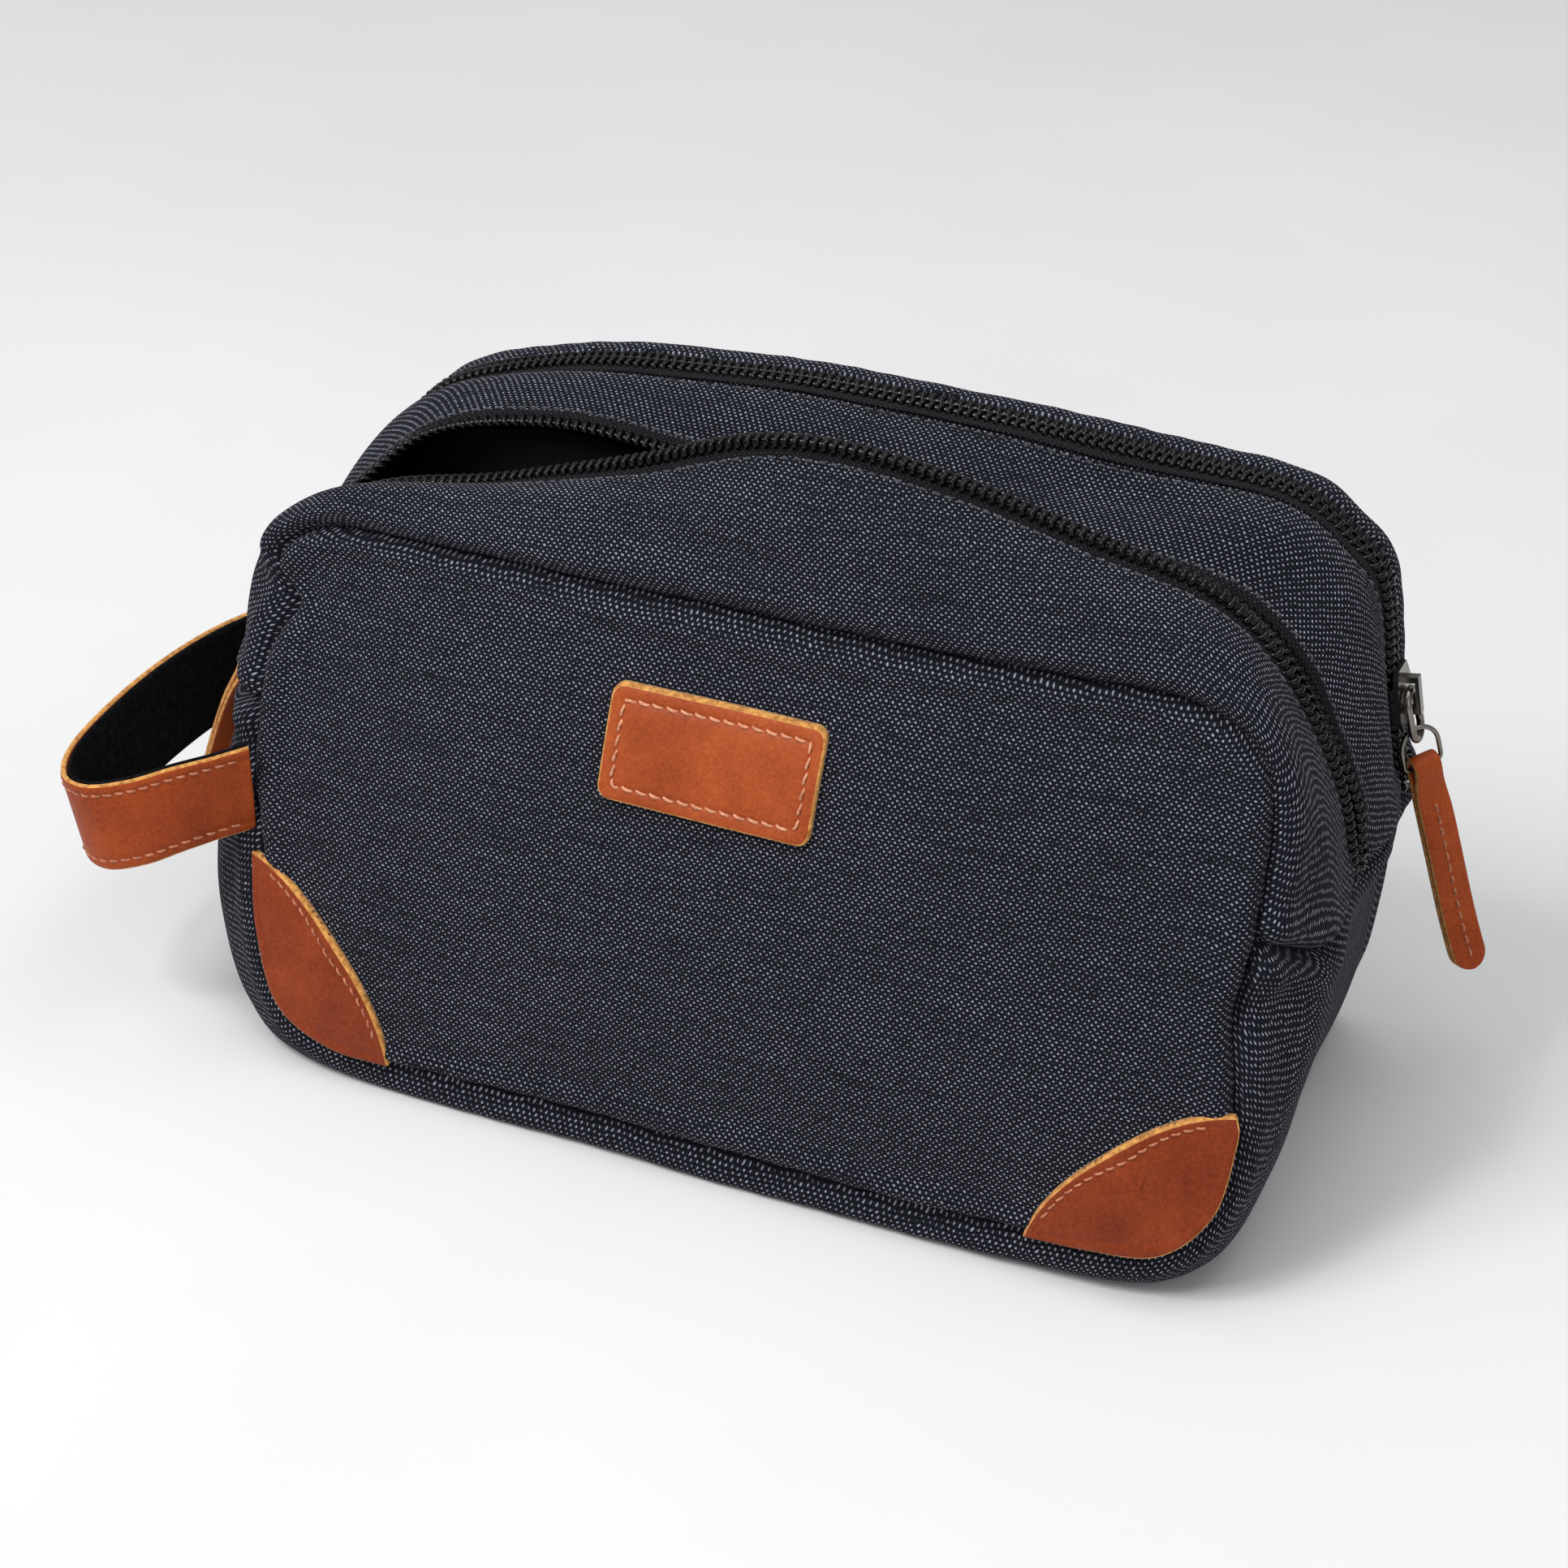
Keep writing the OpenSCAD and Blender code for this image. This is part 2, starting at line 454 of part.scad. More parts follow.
// A corner patch fills the panel's corner beside the seam points given, and its free
// edge bows toward the panel's middle.
patch_bow = 7;
function corner_rows(points) = let (seam = smooth(points, 2), k = len(seam) - 1,
    a = seam[0], b = seam[k], mid = unit([a[2] - b[2], 0, b[0] - a[0]]))
    [for (s = [0.04, 0.35, 0.7, 1]) [for (i = [0 : k])
        let (q = mix(a, b, i / k) + mid * 4 * patch_bow * (i / k) * (1 - i / k),
            p = mix(seam[i], q, s)) panel_point(p[0], p[2])]];
left_corner = corner_rows(concat([for (i = [2 : 5]) low_seam[i]],
    [mix(low_seam[5], low_seam[6], 0.42)]));
right_corner = corner_rows(concat([mix(low_seam[8], low_seam[9], 0.67)],
    [for (i = [9 : 12]) low_seam[i]], [mix(low_seam[12], low_seam[13], 0.27)]));
module corner_patch(g) color(leather_colour) cloth(g, -0.3 - leather, -0.3);
module corner_stitches(g) color(thread_colour) {
    line = smooth([for (i = [0 : len(g[3]) - 1]) mix(g[3][i], g[2][i], 0.3)], 2);
    for (i = [2 : len(line) - 3]) let (d = line[i + 1] - line[i - 1], n = outward(line[i]))
        translate(line[i] + n * (leather + 1.1))
            rotate([0, -atan2(d[2], d[0]), 0]) cube([stitch_len, 0.5, 0.6], center = true);
}
module corner_patch_left() corner_patch(left_corner);
module corner_patch_right() corner_patch(right_corner);
module corner_stitching_left() corner_stitches(left_corner);
module corner_stitching_right() corner_stitches(right_corner);

front_panel();
back_panel();
front_gusset();
middle_gusset();
rear_gusset();
lower_gusset();
front_panel_lining();
back_panel_lining();
front_gusset_lining();
middle_gusset_lining();
rear_gusset_lining();
lower_gusset_lining();
divider();
front_zip_tape_front();
front_zip_tape_rear();
rear_zip_tape_front();
rear_zip_tape_rear();
front_zip_coil_front();
front_zip_coil_rear();
rear_zip_coil_front();
rear_zip_coil_rear();
front_slider();
front_pull_ring();
front_pull_link();
front_pull_tab();
front_tab_stitching();
rear_slider();
rear_pull_ring();
rear_pull_link();
rear_pull_tab();
rear_tab_stitching();
handle_leather();
handle_lining();
handle_stitching();
front_patch();
patch_stitching();
corner_patch_left();
corner_patch_right();
corner_stitching_left();
corner_stitching_right();
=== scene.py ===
"""Shaving kit bag: the looks of each piece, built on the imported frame."""
import math

import bpy
import numpy as np
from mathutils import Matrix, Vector

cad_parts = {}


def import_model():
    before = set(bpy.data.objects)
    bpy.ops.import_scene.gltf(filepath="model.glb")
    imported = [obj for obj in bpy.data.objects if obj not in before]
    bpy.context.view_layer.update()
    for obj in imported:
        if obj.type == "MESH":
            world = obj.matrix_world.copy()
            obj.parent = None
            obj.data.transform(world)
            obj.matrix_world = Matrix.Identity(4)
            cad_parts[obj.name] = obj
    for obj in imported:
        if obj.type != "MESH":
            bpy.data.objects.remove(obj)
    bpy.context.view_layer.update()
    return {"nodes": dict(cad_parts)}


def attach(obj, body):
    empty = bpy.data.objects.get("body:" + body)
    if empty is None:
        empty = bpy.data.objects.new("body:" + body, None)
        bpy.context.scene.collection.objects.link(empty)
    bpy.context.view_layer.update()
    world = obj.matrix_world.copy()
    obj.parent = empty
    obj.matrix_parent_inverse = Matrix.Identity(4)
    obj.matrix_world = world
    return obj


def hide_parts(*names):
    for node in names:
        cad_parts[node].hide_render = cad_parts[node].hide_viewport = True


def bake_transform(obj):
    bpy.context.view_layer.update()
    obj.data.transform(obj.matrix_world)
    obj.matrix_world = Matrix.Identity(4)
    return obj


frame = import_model()
nodes = frame["nodes"]
scene = bpy.context.scene
MM = 0.001

# ---------------------------------------------------------------- camera
camera_data = bpy.data.cameras.new("camera")
camera_data.lens, camera_data.sensor_width = 80.34, 36.0
camera = bpy.data.objects.new("camera", camera_data)
camera.location = (0.2964, -0.6739, 0.5329)
camera.rotation_euler = (math.radians(90 - 31.95), 0, math.radians(24.21))
scene.collection.objects.link(camera)
scene.camera = camera

# ---------------------------------------------------------------- the bag's measurements, in mm
HALF = 136.0                             # half the width of the base
HEIGHT = 157.0
BACK_Y = 63.0                            # where the back panel stands
SEAM_Y, LEAN = -71.7, math.radians(21.8)     # the front panel's foot, and how it leans back
FRONT_MID, BACK_MID = (0, 68), (0, 80)   # x, z in the middle of each panel
FRONT_SWELL, BACK_SWELL = 6.0, 4.0       # how far each panel bulges there
PANEL_SLACK = 0.8                        # how much of the cloth's waves shows on the panels
CANVAS, LINING, PLY_GAP = 1.4, 0.6, 0.05     # thicknesses, and the air between the two
LEATHER, FELT = 1.8, 1.4
AROUND = 360                             # points along each cloth piece

# The zips.
COIL_GAP, CLOSED = 2.2, 0.35             # from a zip's middle to its rows, less when closed
TAPE_SHOW, REAR_TAPE_SHOW = 1.7, 2.8     # how much of the tapes shows beside the rows
TAPE_UNDER, REAR_TAPE_UNDER = 2.0, 1.5   # how far they run in under the canvas
TAPE_GAP = 0.4                           # half the gap between the closed tapes
FOOT_CLOSED = 2.4                        # how far the open zip's tapes close in at its feet
COIL_PITCH = 2.5
COIL_WIDE, COIL_HIGH, COIL_SLANT = 1.6, 1.2, 0.4     # the wire's swing across, up and along
WIRE_R, CORE_R = 0.78, 1.0

# The leather patches on the front panel.
PATCH_MID = np.array([-8.5, 99.0])
PATCH_W, PATCH_H, PATCH_R = 56.0, 28.0, 3.2
PATCH_STITCH_IN = 3.6                    # from the patch's edge in to its stitches
CORNER_BOW = 7.5                         # how far a corner patch's free edge bows out
LAID_ON = 0.15                           # the leather's underside above the cloth

# The handle and the zip pulls.
STRAP_W, STRAP_LEAN = 24.0, 2.8          # its upper edge leans in by the second
STITCH_AT, STITCH_SINK = 0.77, 0.28      # stitch rows, as a part of its half width, and depth
LINK_DROP, LINK_TURN = 20.5, -42.0       # from the ring's hinge to the link's bar
TAB_W, TAB_LEN, LEAF, LOOP_R = 9.0, 55.0, 1.7, 1.2

# The divider: where it stands, its middle in x and z, and its size within the bag's section.
DIVIDER_Y, DIVIDER_MID, DIVIDER_SIZE = 36.0, np.array([0, 75.0]), 1 - 6 / 75

# Stitch rows: pitch, stitch length, thread radius.
TOP_ROW, PATCH_ROW, CORNER_ROW = (3.2, 2.2, 0.32), (3.7, 3.3, 0.4), (3.0, 2.6, 0.34)
STRAP_ROW, TAB_ROW = (3.3, 2.9, 0.38), (3.3, 2.8, 0.36)

# Soft swellings and dents in the cloth: middle, size along each axis, height.
SWELLINGS = (((-129, -28, 111), (9, 14, 6), -3.2), ((-116, -26, 119), (18, 14, 5), -1.2),
             ((-98, -24, 121), (30, 12, 4.5), 1.3), ((-134, -28, 124), (8, 10, 6), 1.6),
             ((-70, -14, 136), (34, 8, 4), 1.3), ((-30, -12, 143), (30, 9, 5), -1.4),
             ((126, -38, 68), (7, 12, 6), -2.6), ((120, -36, 84), (12, 14, 9), 1.5),
             ((134, -28, 62), (8, 14, 8), 1.5), ((60, 40, 151), (22, 7, 6), -2.0),
             ((0, 38, 151), (26, 7, 6), 1.5), ((100, 38, 146), (16, 9, 8), 1.6),
             ((-140, -36, 60), (10, 12, 12), 1.2))


def lean_y(z):
    """Where the front panel's plane is at the height z."""
    return SEAM_Y + z * math.tan(LEAN)


def on_front(pairs):
    return np.array([(x, lean_y(z), z) for x, z in pairs], float)


def on_back(pairs):
    return np.array([(x, BACK_Y, z) for x, z in pairs], float)


# Stations of the upper part, from the left cross seam over the top to the right one.
top_seam = on_front([(-136, 84), (-135, 98), (-131, 110), (-136, 119.5), (-124, 128), (-92, 129),
                     (-42, 129), (3, 129.5), (45, 130), (80, 131), (98, 131.5), (114, 128),
                     (124.5, 119), (127.4, 102), (127.3, 85)])
top_roll = np.array([(-146, -25, 85), (-145, -22, 104), (-143, -20, 115), (-137, -17, 128),
                     (-118, -14, 138), (-82, -11, 142), (-42, -12, 146), (-2, -13, 150),
                     (38, -12, 150), (78, -12, 147), (102, -12, 143), (119, -13, 133),
                     (130, -15, 117), (136.5, -18, 97), (139, -19, 75)], float)
mouth_front = np.array([(-141, -10.2, 85), (-141, -9.6, 104), (-139.5, -8, 117), (-130, -4, 127),
                        (-112, -1, 134), (-80, 0, 141.5), (-44, 0, 154.5), (-5, 0, 167),
                        (35, 0, 165.5), (75, 0, 157), (99, 0, 151), (114, 0, 140), (126, 1, 121),
                        (133.5, 3, 101), (137.5, 4, 78.5)], float)
mouth_rear = np.array([(-141, -5.8, 85), (-141, -4.8, 104), (-139.5, 2, 114), (-133, 13, 122),
                       (-116, 25, 136), (-88, 31, 141), (-45, 29, 142), (-5, 26, 141),
                       (35, 25, 140), (75, 25, 139), (99, 25, 134), (115, 21, 124),
                       (127, 15, 109), (134.5, 13, 93), (137.5, 8.4, 78.5)], float)
middle_roll = np.array([(-147, 22, 87), (-146, 24, 104), (-142, 27, 119), (-132, 33, 133),
                        (-114, 38, 144), (-82, 40, 150), (-42, 39, 153), (0, 38, 152),
                        (40, 38, 152), (79, 38, 151), (103, 37, 148), (120, 36, 138),
                        (131, 34, 119), (137.5, 30, 98), (140, 27, 78)], float)
rear_track = np.array([(-144, 50, 89), (-142, 50, 104), (-138, 50, 120), (-129, 50, 134),
                       (-112, 50, 143.5), (-80, 50, 152), (-42, 50, 157), (0, 50, 158),
                       (40, 50, 157.5), (80, 50, 156), (104, 50, 153), (118.5, 50, 144),
                       (126.4, 50, 134), (132, 50, 103), (136.5, 50, 78)], float)
back_top = on_back([(-141, 90), (-141, 106), (-137, 121), (-128, 136), (-111, 145), (-80, 152.5),
                    (-40, 157.5), (0, 157.5), (42, 157), (82, 156), (106, 153), (118, 145),
                    (126, 134), (131, 103), (132, 76)])

# Stations of the lower part, from the left cross seam under the bag to the right one.
low_seam = on_front([(-136, 84), (-135, 68), (-129.5, 51), (-125.5, 33), (-117, 16), (-101, 9),
                     (-60, 8.5), (0, 8.5), (55, 8.5), (100, 11.5), (118, 14.5), (129, 26),
                     (131, 43), (126.6, 65), (127.3, 85)])
low_roll = np.array([(-145, -24, 83), (-148, -31, 66), (-148.5, -39, 46), (-145.5, -45, 27),
                     (-135, -53, 8), (-113, -60, 0), (-60, -61, 0), (-3, -61, 0), (55, -61, 0),
                     (106, -60, 0), (127, -52, 6), (136, -44, 24), (139, -36, 42),
                     (140.5, -29, 58), (139.5, -21, 73)], float)
low_side = np.array([(-148, 15, 84), (-149, 12, 66), (-149, 10, 46), (-146, 8, 24), (-135, 5, 6),
                     (-113, 5, 0), (-60, 5, 0), (-3, 5, 0), (55, 5, 0), (106, 5, 0), (123, 5, 5),
                     (131, 6, 22), (133, 8, 42), (134.5, 9, 56), (138, 10, 74)], float)
low_rear = np.array([(-146, 53, 86), (-147, 54, 66), (-147, 54, 46), (-144, 54, 24),
                     (-133, 54, 6), (-112, 54, 0), (-60, 54, 0), (-3, 54, 0), (55, 54, 0),
                     (106, 54, 0), (122, 54, 4), (129.5, 54, 22), (132, 54, 42), (132.5, 54, 58),
                     (135.5, 53, 75)], float)
back_low = on_back([(-141, 90), (-142, 68), (-141, 48), (-138, 30), (-130, 15), (-113, 8),
                    (-60, 8), (0, 8), (55, 8), (104, 8), (117, 13), (125, 27), (128, 44),
                    (129.5, 60), (132, 76)])


# ---------------------------------------------------------------- curves and surfaces
def unit(v):
    return v / np.maximum(np.linalg.norm(v, axis=-1, keepdims=True), 1e-9)


def along(points, ts):
    """The smooth curve through points, at each parameter in ts."""
    p = np.concatenate([[2 * points[0] - points[1]], points, [2 * points[-1] - points[-2]]])
    i = np.clip(np.floor(ts).astype(int), 0, len(points) - 2)
    t = (ts - i).reshape(-1, *([1] * (points.ndim - 1)))
    a, b, c, d = p[i], p[i + 1], p[i + 2], p[i + 3]
    return 0.5 * (2 * b + (c - a) * t + (2 * a - 5 * b + 4 * c - d) * t * t
                  + (3 * b - a - 3 * c + d) * t ** 3)


def spread(count, steps, ease=0.0):
    """Parameters from 0 to count - 1, drawn closer together near both ends by ease."""
    s = np.linspace(0, 1, steps)
    return (s * (1 - ease) + (1 - np.cos(np.pi * s)) / 2 * ease) * (count - 1)


def skin(curves, around, across):
    """Rows of points over the curves: across rows, each with around points."""
    stack = np.stack([along(c, spread(len(c), around)) for c in curves])
    return along(stack, spread(len(curves), across, 0.75))


def outward(p):
    """Outward direction of the bag's rounded-box shape near its skin."""
    front = lean_y(p[..., 2])
    mid, deep = (front + BACK_Y) / 2, (BACK_Y - front) / 2
    v = np.stack([p[..., 0] / HALF, (p[..., 1] - mid) / deep,
                  (p[..., 2] - HEIGHT / 2) / (HEIGHT / 2)], -1)
    return unit(np.sign(v) * np.abs(v) ** 5)


def waves(p):
    """Slack in the cloth: broad soft waves, and the creases where it is pulled."""
    x, y, z = p[..., 0], p[..., 1], p[..., 2]
    h = (0.55 * np.sin(x / 17 + 1.3 * np.sin(z / 23) + 0.4)
         + 0.45 * np.sin(z / 11 + 1.1 * np.sin(x / 31) + y / 19)
         + 0.35 * np.sin((x + z) / 9.5 + 0.9 * np.sin(y / 14)))
    h = h * 0.55
    for middle, size, height in SWELLINGS:
        h = h + height * np.exp(-np.sum(((p - middle) / size) ** 2, -1))
    return h


def groove(distance):
    """The fold at a seam: the cloth dives into it and swells beside it."""
    return (-2.4 * np.exp(-(distance / 1.2) ** 2) - 1.4 * np.exp(-(distance / 2.6) ** 2)
            + 1.7 * np.exp(-((distance - 5.5) / 3.6) ** 2))


def puckers(run, distance):
    """Small gathers that run out of a seam, run mm along it and distance mm away."""
    h = (np.sin(run / 1.9 + 2.1 * np.sin(run / 13))
         + 0.7 * np.sin(run / 3.3 + 1.7 * np.sin(run / 21)))
    return 0.16 * h * np.exp(-np.maximum(distance - 1, 0) / 5.5)


def arc(rows, axis):
    """Distance along axis from the first point, for every point of a grid."""
    d = np.linalg.norm(np.diff(rows, axis=axis), axis=-1)
    return np.concatenate([np.zeros_like(np.take(d, [0], axis)), np.cumsum(d, axis)], axis)


def length_along(line):
    return arc(line[None], 1)[0]


def sample(s, run, line):
    """Points on a line at the distances s, where run is the distance to each of its points."""
    return np.stack([np.interp(s, run, values) for values in line.T], -1)


def even_ring(points, count=240):
    """count points evenly spaced round the closed outline through points."""
    closed = np.concatenate([points, points[:1]])
    run = length_along(closed)
    return sample(np.linspace(0, run[-1], count + 1)[:-1], run, closed)


def from_ends(run):
    """Distance to the nearer end of each row, from the distance along it."""
    return np.minimum(run, run[..., -1:] - run)


def collection_mesh(name, verts, faces, uvs=None, materials=(), face_slots=None):
    """A smooth-shaded mesh object from points in mm, with one UV pair per point."""
    mesh = bpy.data.meshes.new(name)
    mesh.from_pydata((np.asarray(verts) * MM).tolist(), [], [list(map(int, f)) for f in faces])
    for m in materials:
        mesh.materials.append(m)
    if face_slots is not None:
        mesh.polygons.foreach_set("material_index", np.asarray(face_slots, dtype=np.int32))
    if uvs is not None:
        layer = mesh.uv_layers.new(name="cloth")
        loops = np.empty(len(mesh.loops), dtype=np.int32)
        mesh.loops.foreach_get("vertex_index", loops)
        layer.data.foreach_set("uv", (np.asarray(uvs)[loops] * MM).astype(np.float32).ravel())
    mesh.validate()
    mesh.shade_smooth()
    obj = bpy.data.objects.new(name, mesh)
    scene.collection.objects.link(obj)
    return obj


def place(obj, body, slot, *stands_for):
    """Put a piece on its body (the strap only has its place baked into its points) and hide the
    parts it stands for.
    """
    if body == "handle":
        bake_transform(obj)
    else:
        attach(obj, body)
    if stands_for:
        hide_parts(*stands_for)


def grid_faces(rows, cols, start=0, closed=False, flip=False):
    """Quads of a grid of points; closed joins its last column to its first."""
    j, i = np.meshgrid(np.arange(rows - 1), np.arange(cols if closed else cols - 1), indexing="ij")
    a = start + j * cols + i
    b = start + j * cols + (i + 1) % cols
    quads = np.stack([a, b, b + cols, a + cols], -1).reshape(-1, 4)
    return quads[:, ::-1] if flip else quads


def sheet(name, top, under, faces, uv, material, slot, stands_for):
    """A cloth piece from the points of its two faces, which share their UV pairs."""
    points = np.concatenate([top.reshape(-1, 3), under.reshape(-1, 3)])
    uvs = np.concatenate([uv.reshape(-1, 2)] * 2)
    place(collection_mesh(name, points, faces, uvs, [material]), "bag", slot, *stands_for)


def shell(name, rows, depth, thick, seam_rows, material, slot, stands_for):
    """A cloth piece over a grid of rows, from depth to depth + thick under the skin.
    seam_rows says which of its first and last rows are sewn into a seam; its two end
    columns always are."""
    n_rows, n_cols = rows.shape[:2]
    across, length = arc(rows, 0), arc(rows, 1)
    ends, far = from_ends(length), 1e3
    d = np.minimum(across if seam_rows[0] else far, across[-1:] - across if seam_rows[1] else far)
    out = outward(rows)
    shape = (waves(rows) + groove(d) + groove(ends) + puckers(length, d) + puckers(across, ends)
             - depth)
    top = rows + out * shape[..., None]
    under = top - out * thick
    uv = np.stack([length - length[:, n_cols // 2][:, None], across], -1)
    top[..., 2] = np.maximum(top[..., 2], depth)
    under[..., 2] = np.maximum(under[..., 2], depth + thick * 0.8)
    m = n_rows * n_cols
    ring = ([(0, i) for i in range(n_cols)] + [(j, n_cols - 1) for j in range(1, n_rows)]
            + [(n_rows - 1, i) for i in range(n_cols - 2, -1, -1)]
            + [(j, 0) for j in range(n_rows - 2, 0, -1)])
    ring = np.array([j * n_cols + i for j, i in ring])
    nxt = np.roll(ring, -1)
    rim = np.stack([nxt, ring, ring + m, nxt + m], -1)
    faces = np.concatenate([grid_faces(n_rows, n_cols), grid_faces(n_rows, n_cols, m, flip=True),
                            rim])
    sheet(name, top, under, faces, uv, material, slot, stands_for)


# ---------------------------------------------------------------- materials
class Graph:
    """Short calls for building a node material."""

    def __init__(self, name):
        self.material = bpy.data.materials.new(name)
        self.material.use_nodes = True
        self.nodes, self.links = self.material.node_tree.nodes, self.material.node_tree.links
        self.shader = self.nodes["Principled BSDF"]

    def link(self, value, socket):
        """Feed a socket from another one, or set its own value."""
        if isinstance(value, bpy.types.NodeSocket):
            self.links.new(value, socket)
        else:
            socket.default_value = (*value, 1) if socket.type == "RGBA" else value

    def add(self, kind, **inputs):
        node = self.nodes.new(kind)
        for key, value in inputs.items():
            if hasattr(node, key) and key not in node.inputs:
                setattr(node, key, value)
            else:
                self.link(value, node.inputs[key])
        return node

    def math(self, operation, a, b=0.0):
        node = self.nodes.new("ShaderNodeMath")
        node.operation = operation
        for value, socket in zip((a, b), node.inputs):
            self.link(value, socket)
        return node.outputs[0]

    def total(self, first, second, weights):
        """Two values, each times its weight, added up."""
        parts = [value if weight == 1.0 else self.math("MULTIPLY", value, weight)
                 for value, weight in zip((first, second), weights)]
        return self.math("ADD", *parts)

    def noise(self, vector, scale, detail=3.0, rough=0.55):
        return self.add("ShaderNodeTexNoise", Vector=vector, Scale=scale, Detail=detail,
                        Roughness=rough).outputs["Fac"]

    def ramp(self, value, *stops):
        node = self.nodes.new("ShaderNodeValToRGB")
        self.link(value, node.inputs[0])
        while len(node.color_ramp.elements) < len(stops):
            node.color_ramp.elements.new(0.5)
        for element, (at, colour) in zip(node.color_ramp.elements, stops):
            element.position = at
            element.color = (*colour, 1)
        return node.outputs[0]

    def mix(self, factor, a, b):
        node = self.nodes.new("ShaderNodeMix")
        node.data_type = "RGBA"
        for value, socket in ((factor, 0), (a, 6), (b, 7)):
            self.link(value, node.inputs[socket])
        return node.outputs[2]

    def bump(self, height, distance, strength):
        return self.add("ShaderNodeBump", Height=height, Distance=distance,
                        Strength=strength).outputs[0]

    def finish(self, colour, rough, normal, **uniform):
        """Feed the shader, with uniform numbers set on its own sockets."""
        self.link(colour, self.shader.inputs["Base Color"])
        self.link(rough, self.shader.inputs["Roughness"])
        self.link(normal, self.shader.inputs["Normal"])
        for key, value in uniform.items():
            self.shader.inputs[key.replace("_", " ")].default_value = value
        return self.material


def weave(name, pitch, dip_shade, light, worn, depth, rough=0.9):
    """Plain weave along the cloth's own threads, pitch from thread to thread. The threads along U
    pass over the others in a chequer, and show lighter with wear where they do. The colour also
    darkens with the threads' height: painted shade in the dips between and under the threads."""
    g = Graph(name)
    uv = g.add("ShaderNodeUVMap", uv_map="cloth").outputs[0]
    at = g.add("ShaderNodeTexCoord").outputs["Object"]
    drift = g.total(g.math("SUBTRACT", g.noise(at, 110.0, 2.0), 0.5),
                    g.noise(uv, 0.6 / pitch, 1.0), (1.0, 0.6))
    wander = g.math("MULTIPLY", drift, 1.3 * pitch)
    parts = g.add("ShaderNodeSeparateXYZ", Vector=uv)
    u = g.math("MULTIPLY", g.math("ADD", parts.outputs[0], wander), math.pi / pitch)
    v = g.math("MULTIPLY", g.math("SUBTRACT", parts.outputs[1], wander), math.pi / pitch)
    su, sv = g.math("SINE", u), g.math("SINE", v)
    au, av = g.math("ABSOLUTE", su), g.math("ABSOLUTE", sv)

    def thread(rise_u, rise_v):
        return g.math("MULTIPLY", g.math("POWER", au, rise_u), g.math("POWER", av, rise_v))

    over = g.math("GREATER_THAN", g.math("MULTIPLY", su, sv), 0.0)
    lower = g.math("MULTIPLY", thread(0.9, 0.7), 0.7)
    height = g.math("ADD", g.math("MULTIPLY", over, thread(0.7, 0.9)),
                    g.math("MULTIPLY", g.math("SUBTRACT", 1.0, over), lower))
    slub_map = g.add("ShaderNodeVectorMath", operation="MULTIPLY")
    g.links.new(uv, slub_map.inputs[0])
    slub_map.inputs[1].default_value = (40.0, 0.9 / pitch, 1)
    slub = g.noise(slub_map.outputs[0], 1.0, 2.0)
    speck = g.noise(uv, 0.85 / pitch, 2.0, 0.6)
    wash = g.noise(at, 26.0, 4.0, 0.6)
    crown = g.math("MULTIPLY", over, thread(1.3, 2.6))
    patchy = g.total(speck, slub, (3.2, 2.2))
    wear = g.math("MULTIPLY", crown, g.math("SUBTRACT", patchy, 1.65))
    wear = g.math("MULTIPLY", g.math("SUBTRACT", wear, 0.15), g.math("ADD", wash, 0.7))
    # Painted shade: the colour darkens by thread height in the dips between and under the threads;
    # the lighter worn crowns laid over it are real wear.
    colour = g.mix(g.math("MINIMUM", g.math("MAXIMUM", wear, 0.0), 1.0),
                   g.mix(height, dip_shade, light), worn)
    top = g.total(height, g.noise(at, 3200.0, 2.0), (1.0, 0.3))
    return g.finish(colour, rough, g.bump(top, depth, 1.0), Sheen_Weight=0.02,
                    Sheen_Roughness=0.5, Specular_IOR_Level=0.12)


canvas_mat = weave("canvas", 0.82 * MM, (0.0022, 0.0026, 0.0045), (0.014, 0.016, 0.026),
                   (0.29, 0.295, 0.36), 0.28 * MM)
lining_mat = weave("lining", 0.45 * MM, (0.003, 0.003, 0.0035), (0.008, 0.008, 0.009),
                   (0.02, 0.02, 0.022), 0.05 * MM, rough=0.6)
tape_mat = weave("tape", 0.7 * MM, (0.0015, 0.0015, 0.002), (0.007, 0.007, 0.009),
                 (0.035, 0.035, 0.04), 0.12 * MM, rough=0.75)


def leather(name, deep, mid, pale, rough=0.5):
    """Waxed full-grain leather: cloudy colour, fine pores and a soft shine."""
    g = Graph(name)
    p = g.add("ShaderNodeTexCoord").outputs["Object"]
    cloud = g.noise(p, 38.0, 5.0, 0.62)
    grain = g.add("ShaderNodeTexVoronoi", feature="F1", Vector=p, Scale=1500.0).outputs["Distance"]
    pores = g.noise(p, 1100.0, 4.0, 0.7)
    colour = g.ramp(g.total(cloud, pores, (0.55, 0.45)), (0.36, deep), (0.5, mid), (0.64, pale))
    height = g.total(grain, pores, (0.5, 0.8))
    roughness = g.math("ADD", g.math("MULTIPLY", cloud, 0.25), rough - 0.12)
    return g.finish(colour, roughness, g.bump(height, 0.1 * MM, 0.8), Specular_IOR_Level=0.18)


leather_mat = leather("leather", (0.24, 0.040, 0.008), (0.34, 0.062, 0.013), (0.43, 0.095, 0.024))
strap_leather_mat = leather("strap_leather", (0.19, 0.026, 0.003), (0.30, 0.046, 0.006),
                            (0.39, 0.072, 0.012))
corner_leather_mat = leather("corner_leather", (0.13, 0.018, 0.004), (0.21, 0.032, 0.007),
                             (0.28, 0.050, 0.012), 0.4)


def plain(name, colours, scale, rough, bump_scale, bump_depth, **uniform):
    """A material clouded between two colours, with fine bumps."""
    g = Graph(name)
    p = g.add("ShaderNodeTexCoord").outputs["Object"]
    colour = g.ramp(g.noise(p, scale, 4.0), (0.35, colours[0]), (0.65, colours[1]))
    fine = g.noise(p, bump_scale, 3.0, 0.65)
    return g.finish(colour, rough, g.bump(fine, bump_depth, 0.8), **uniform)


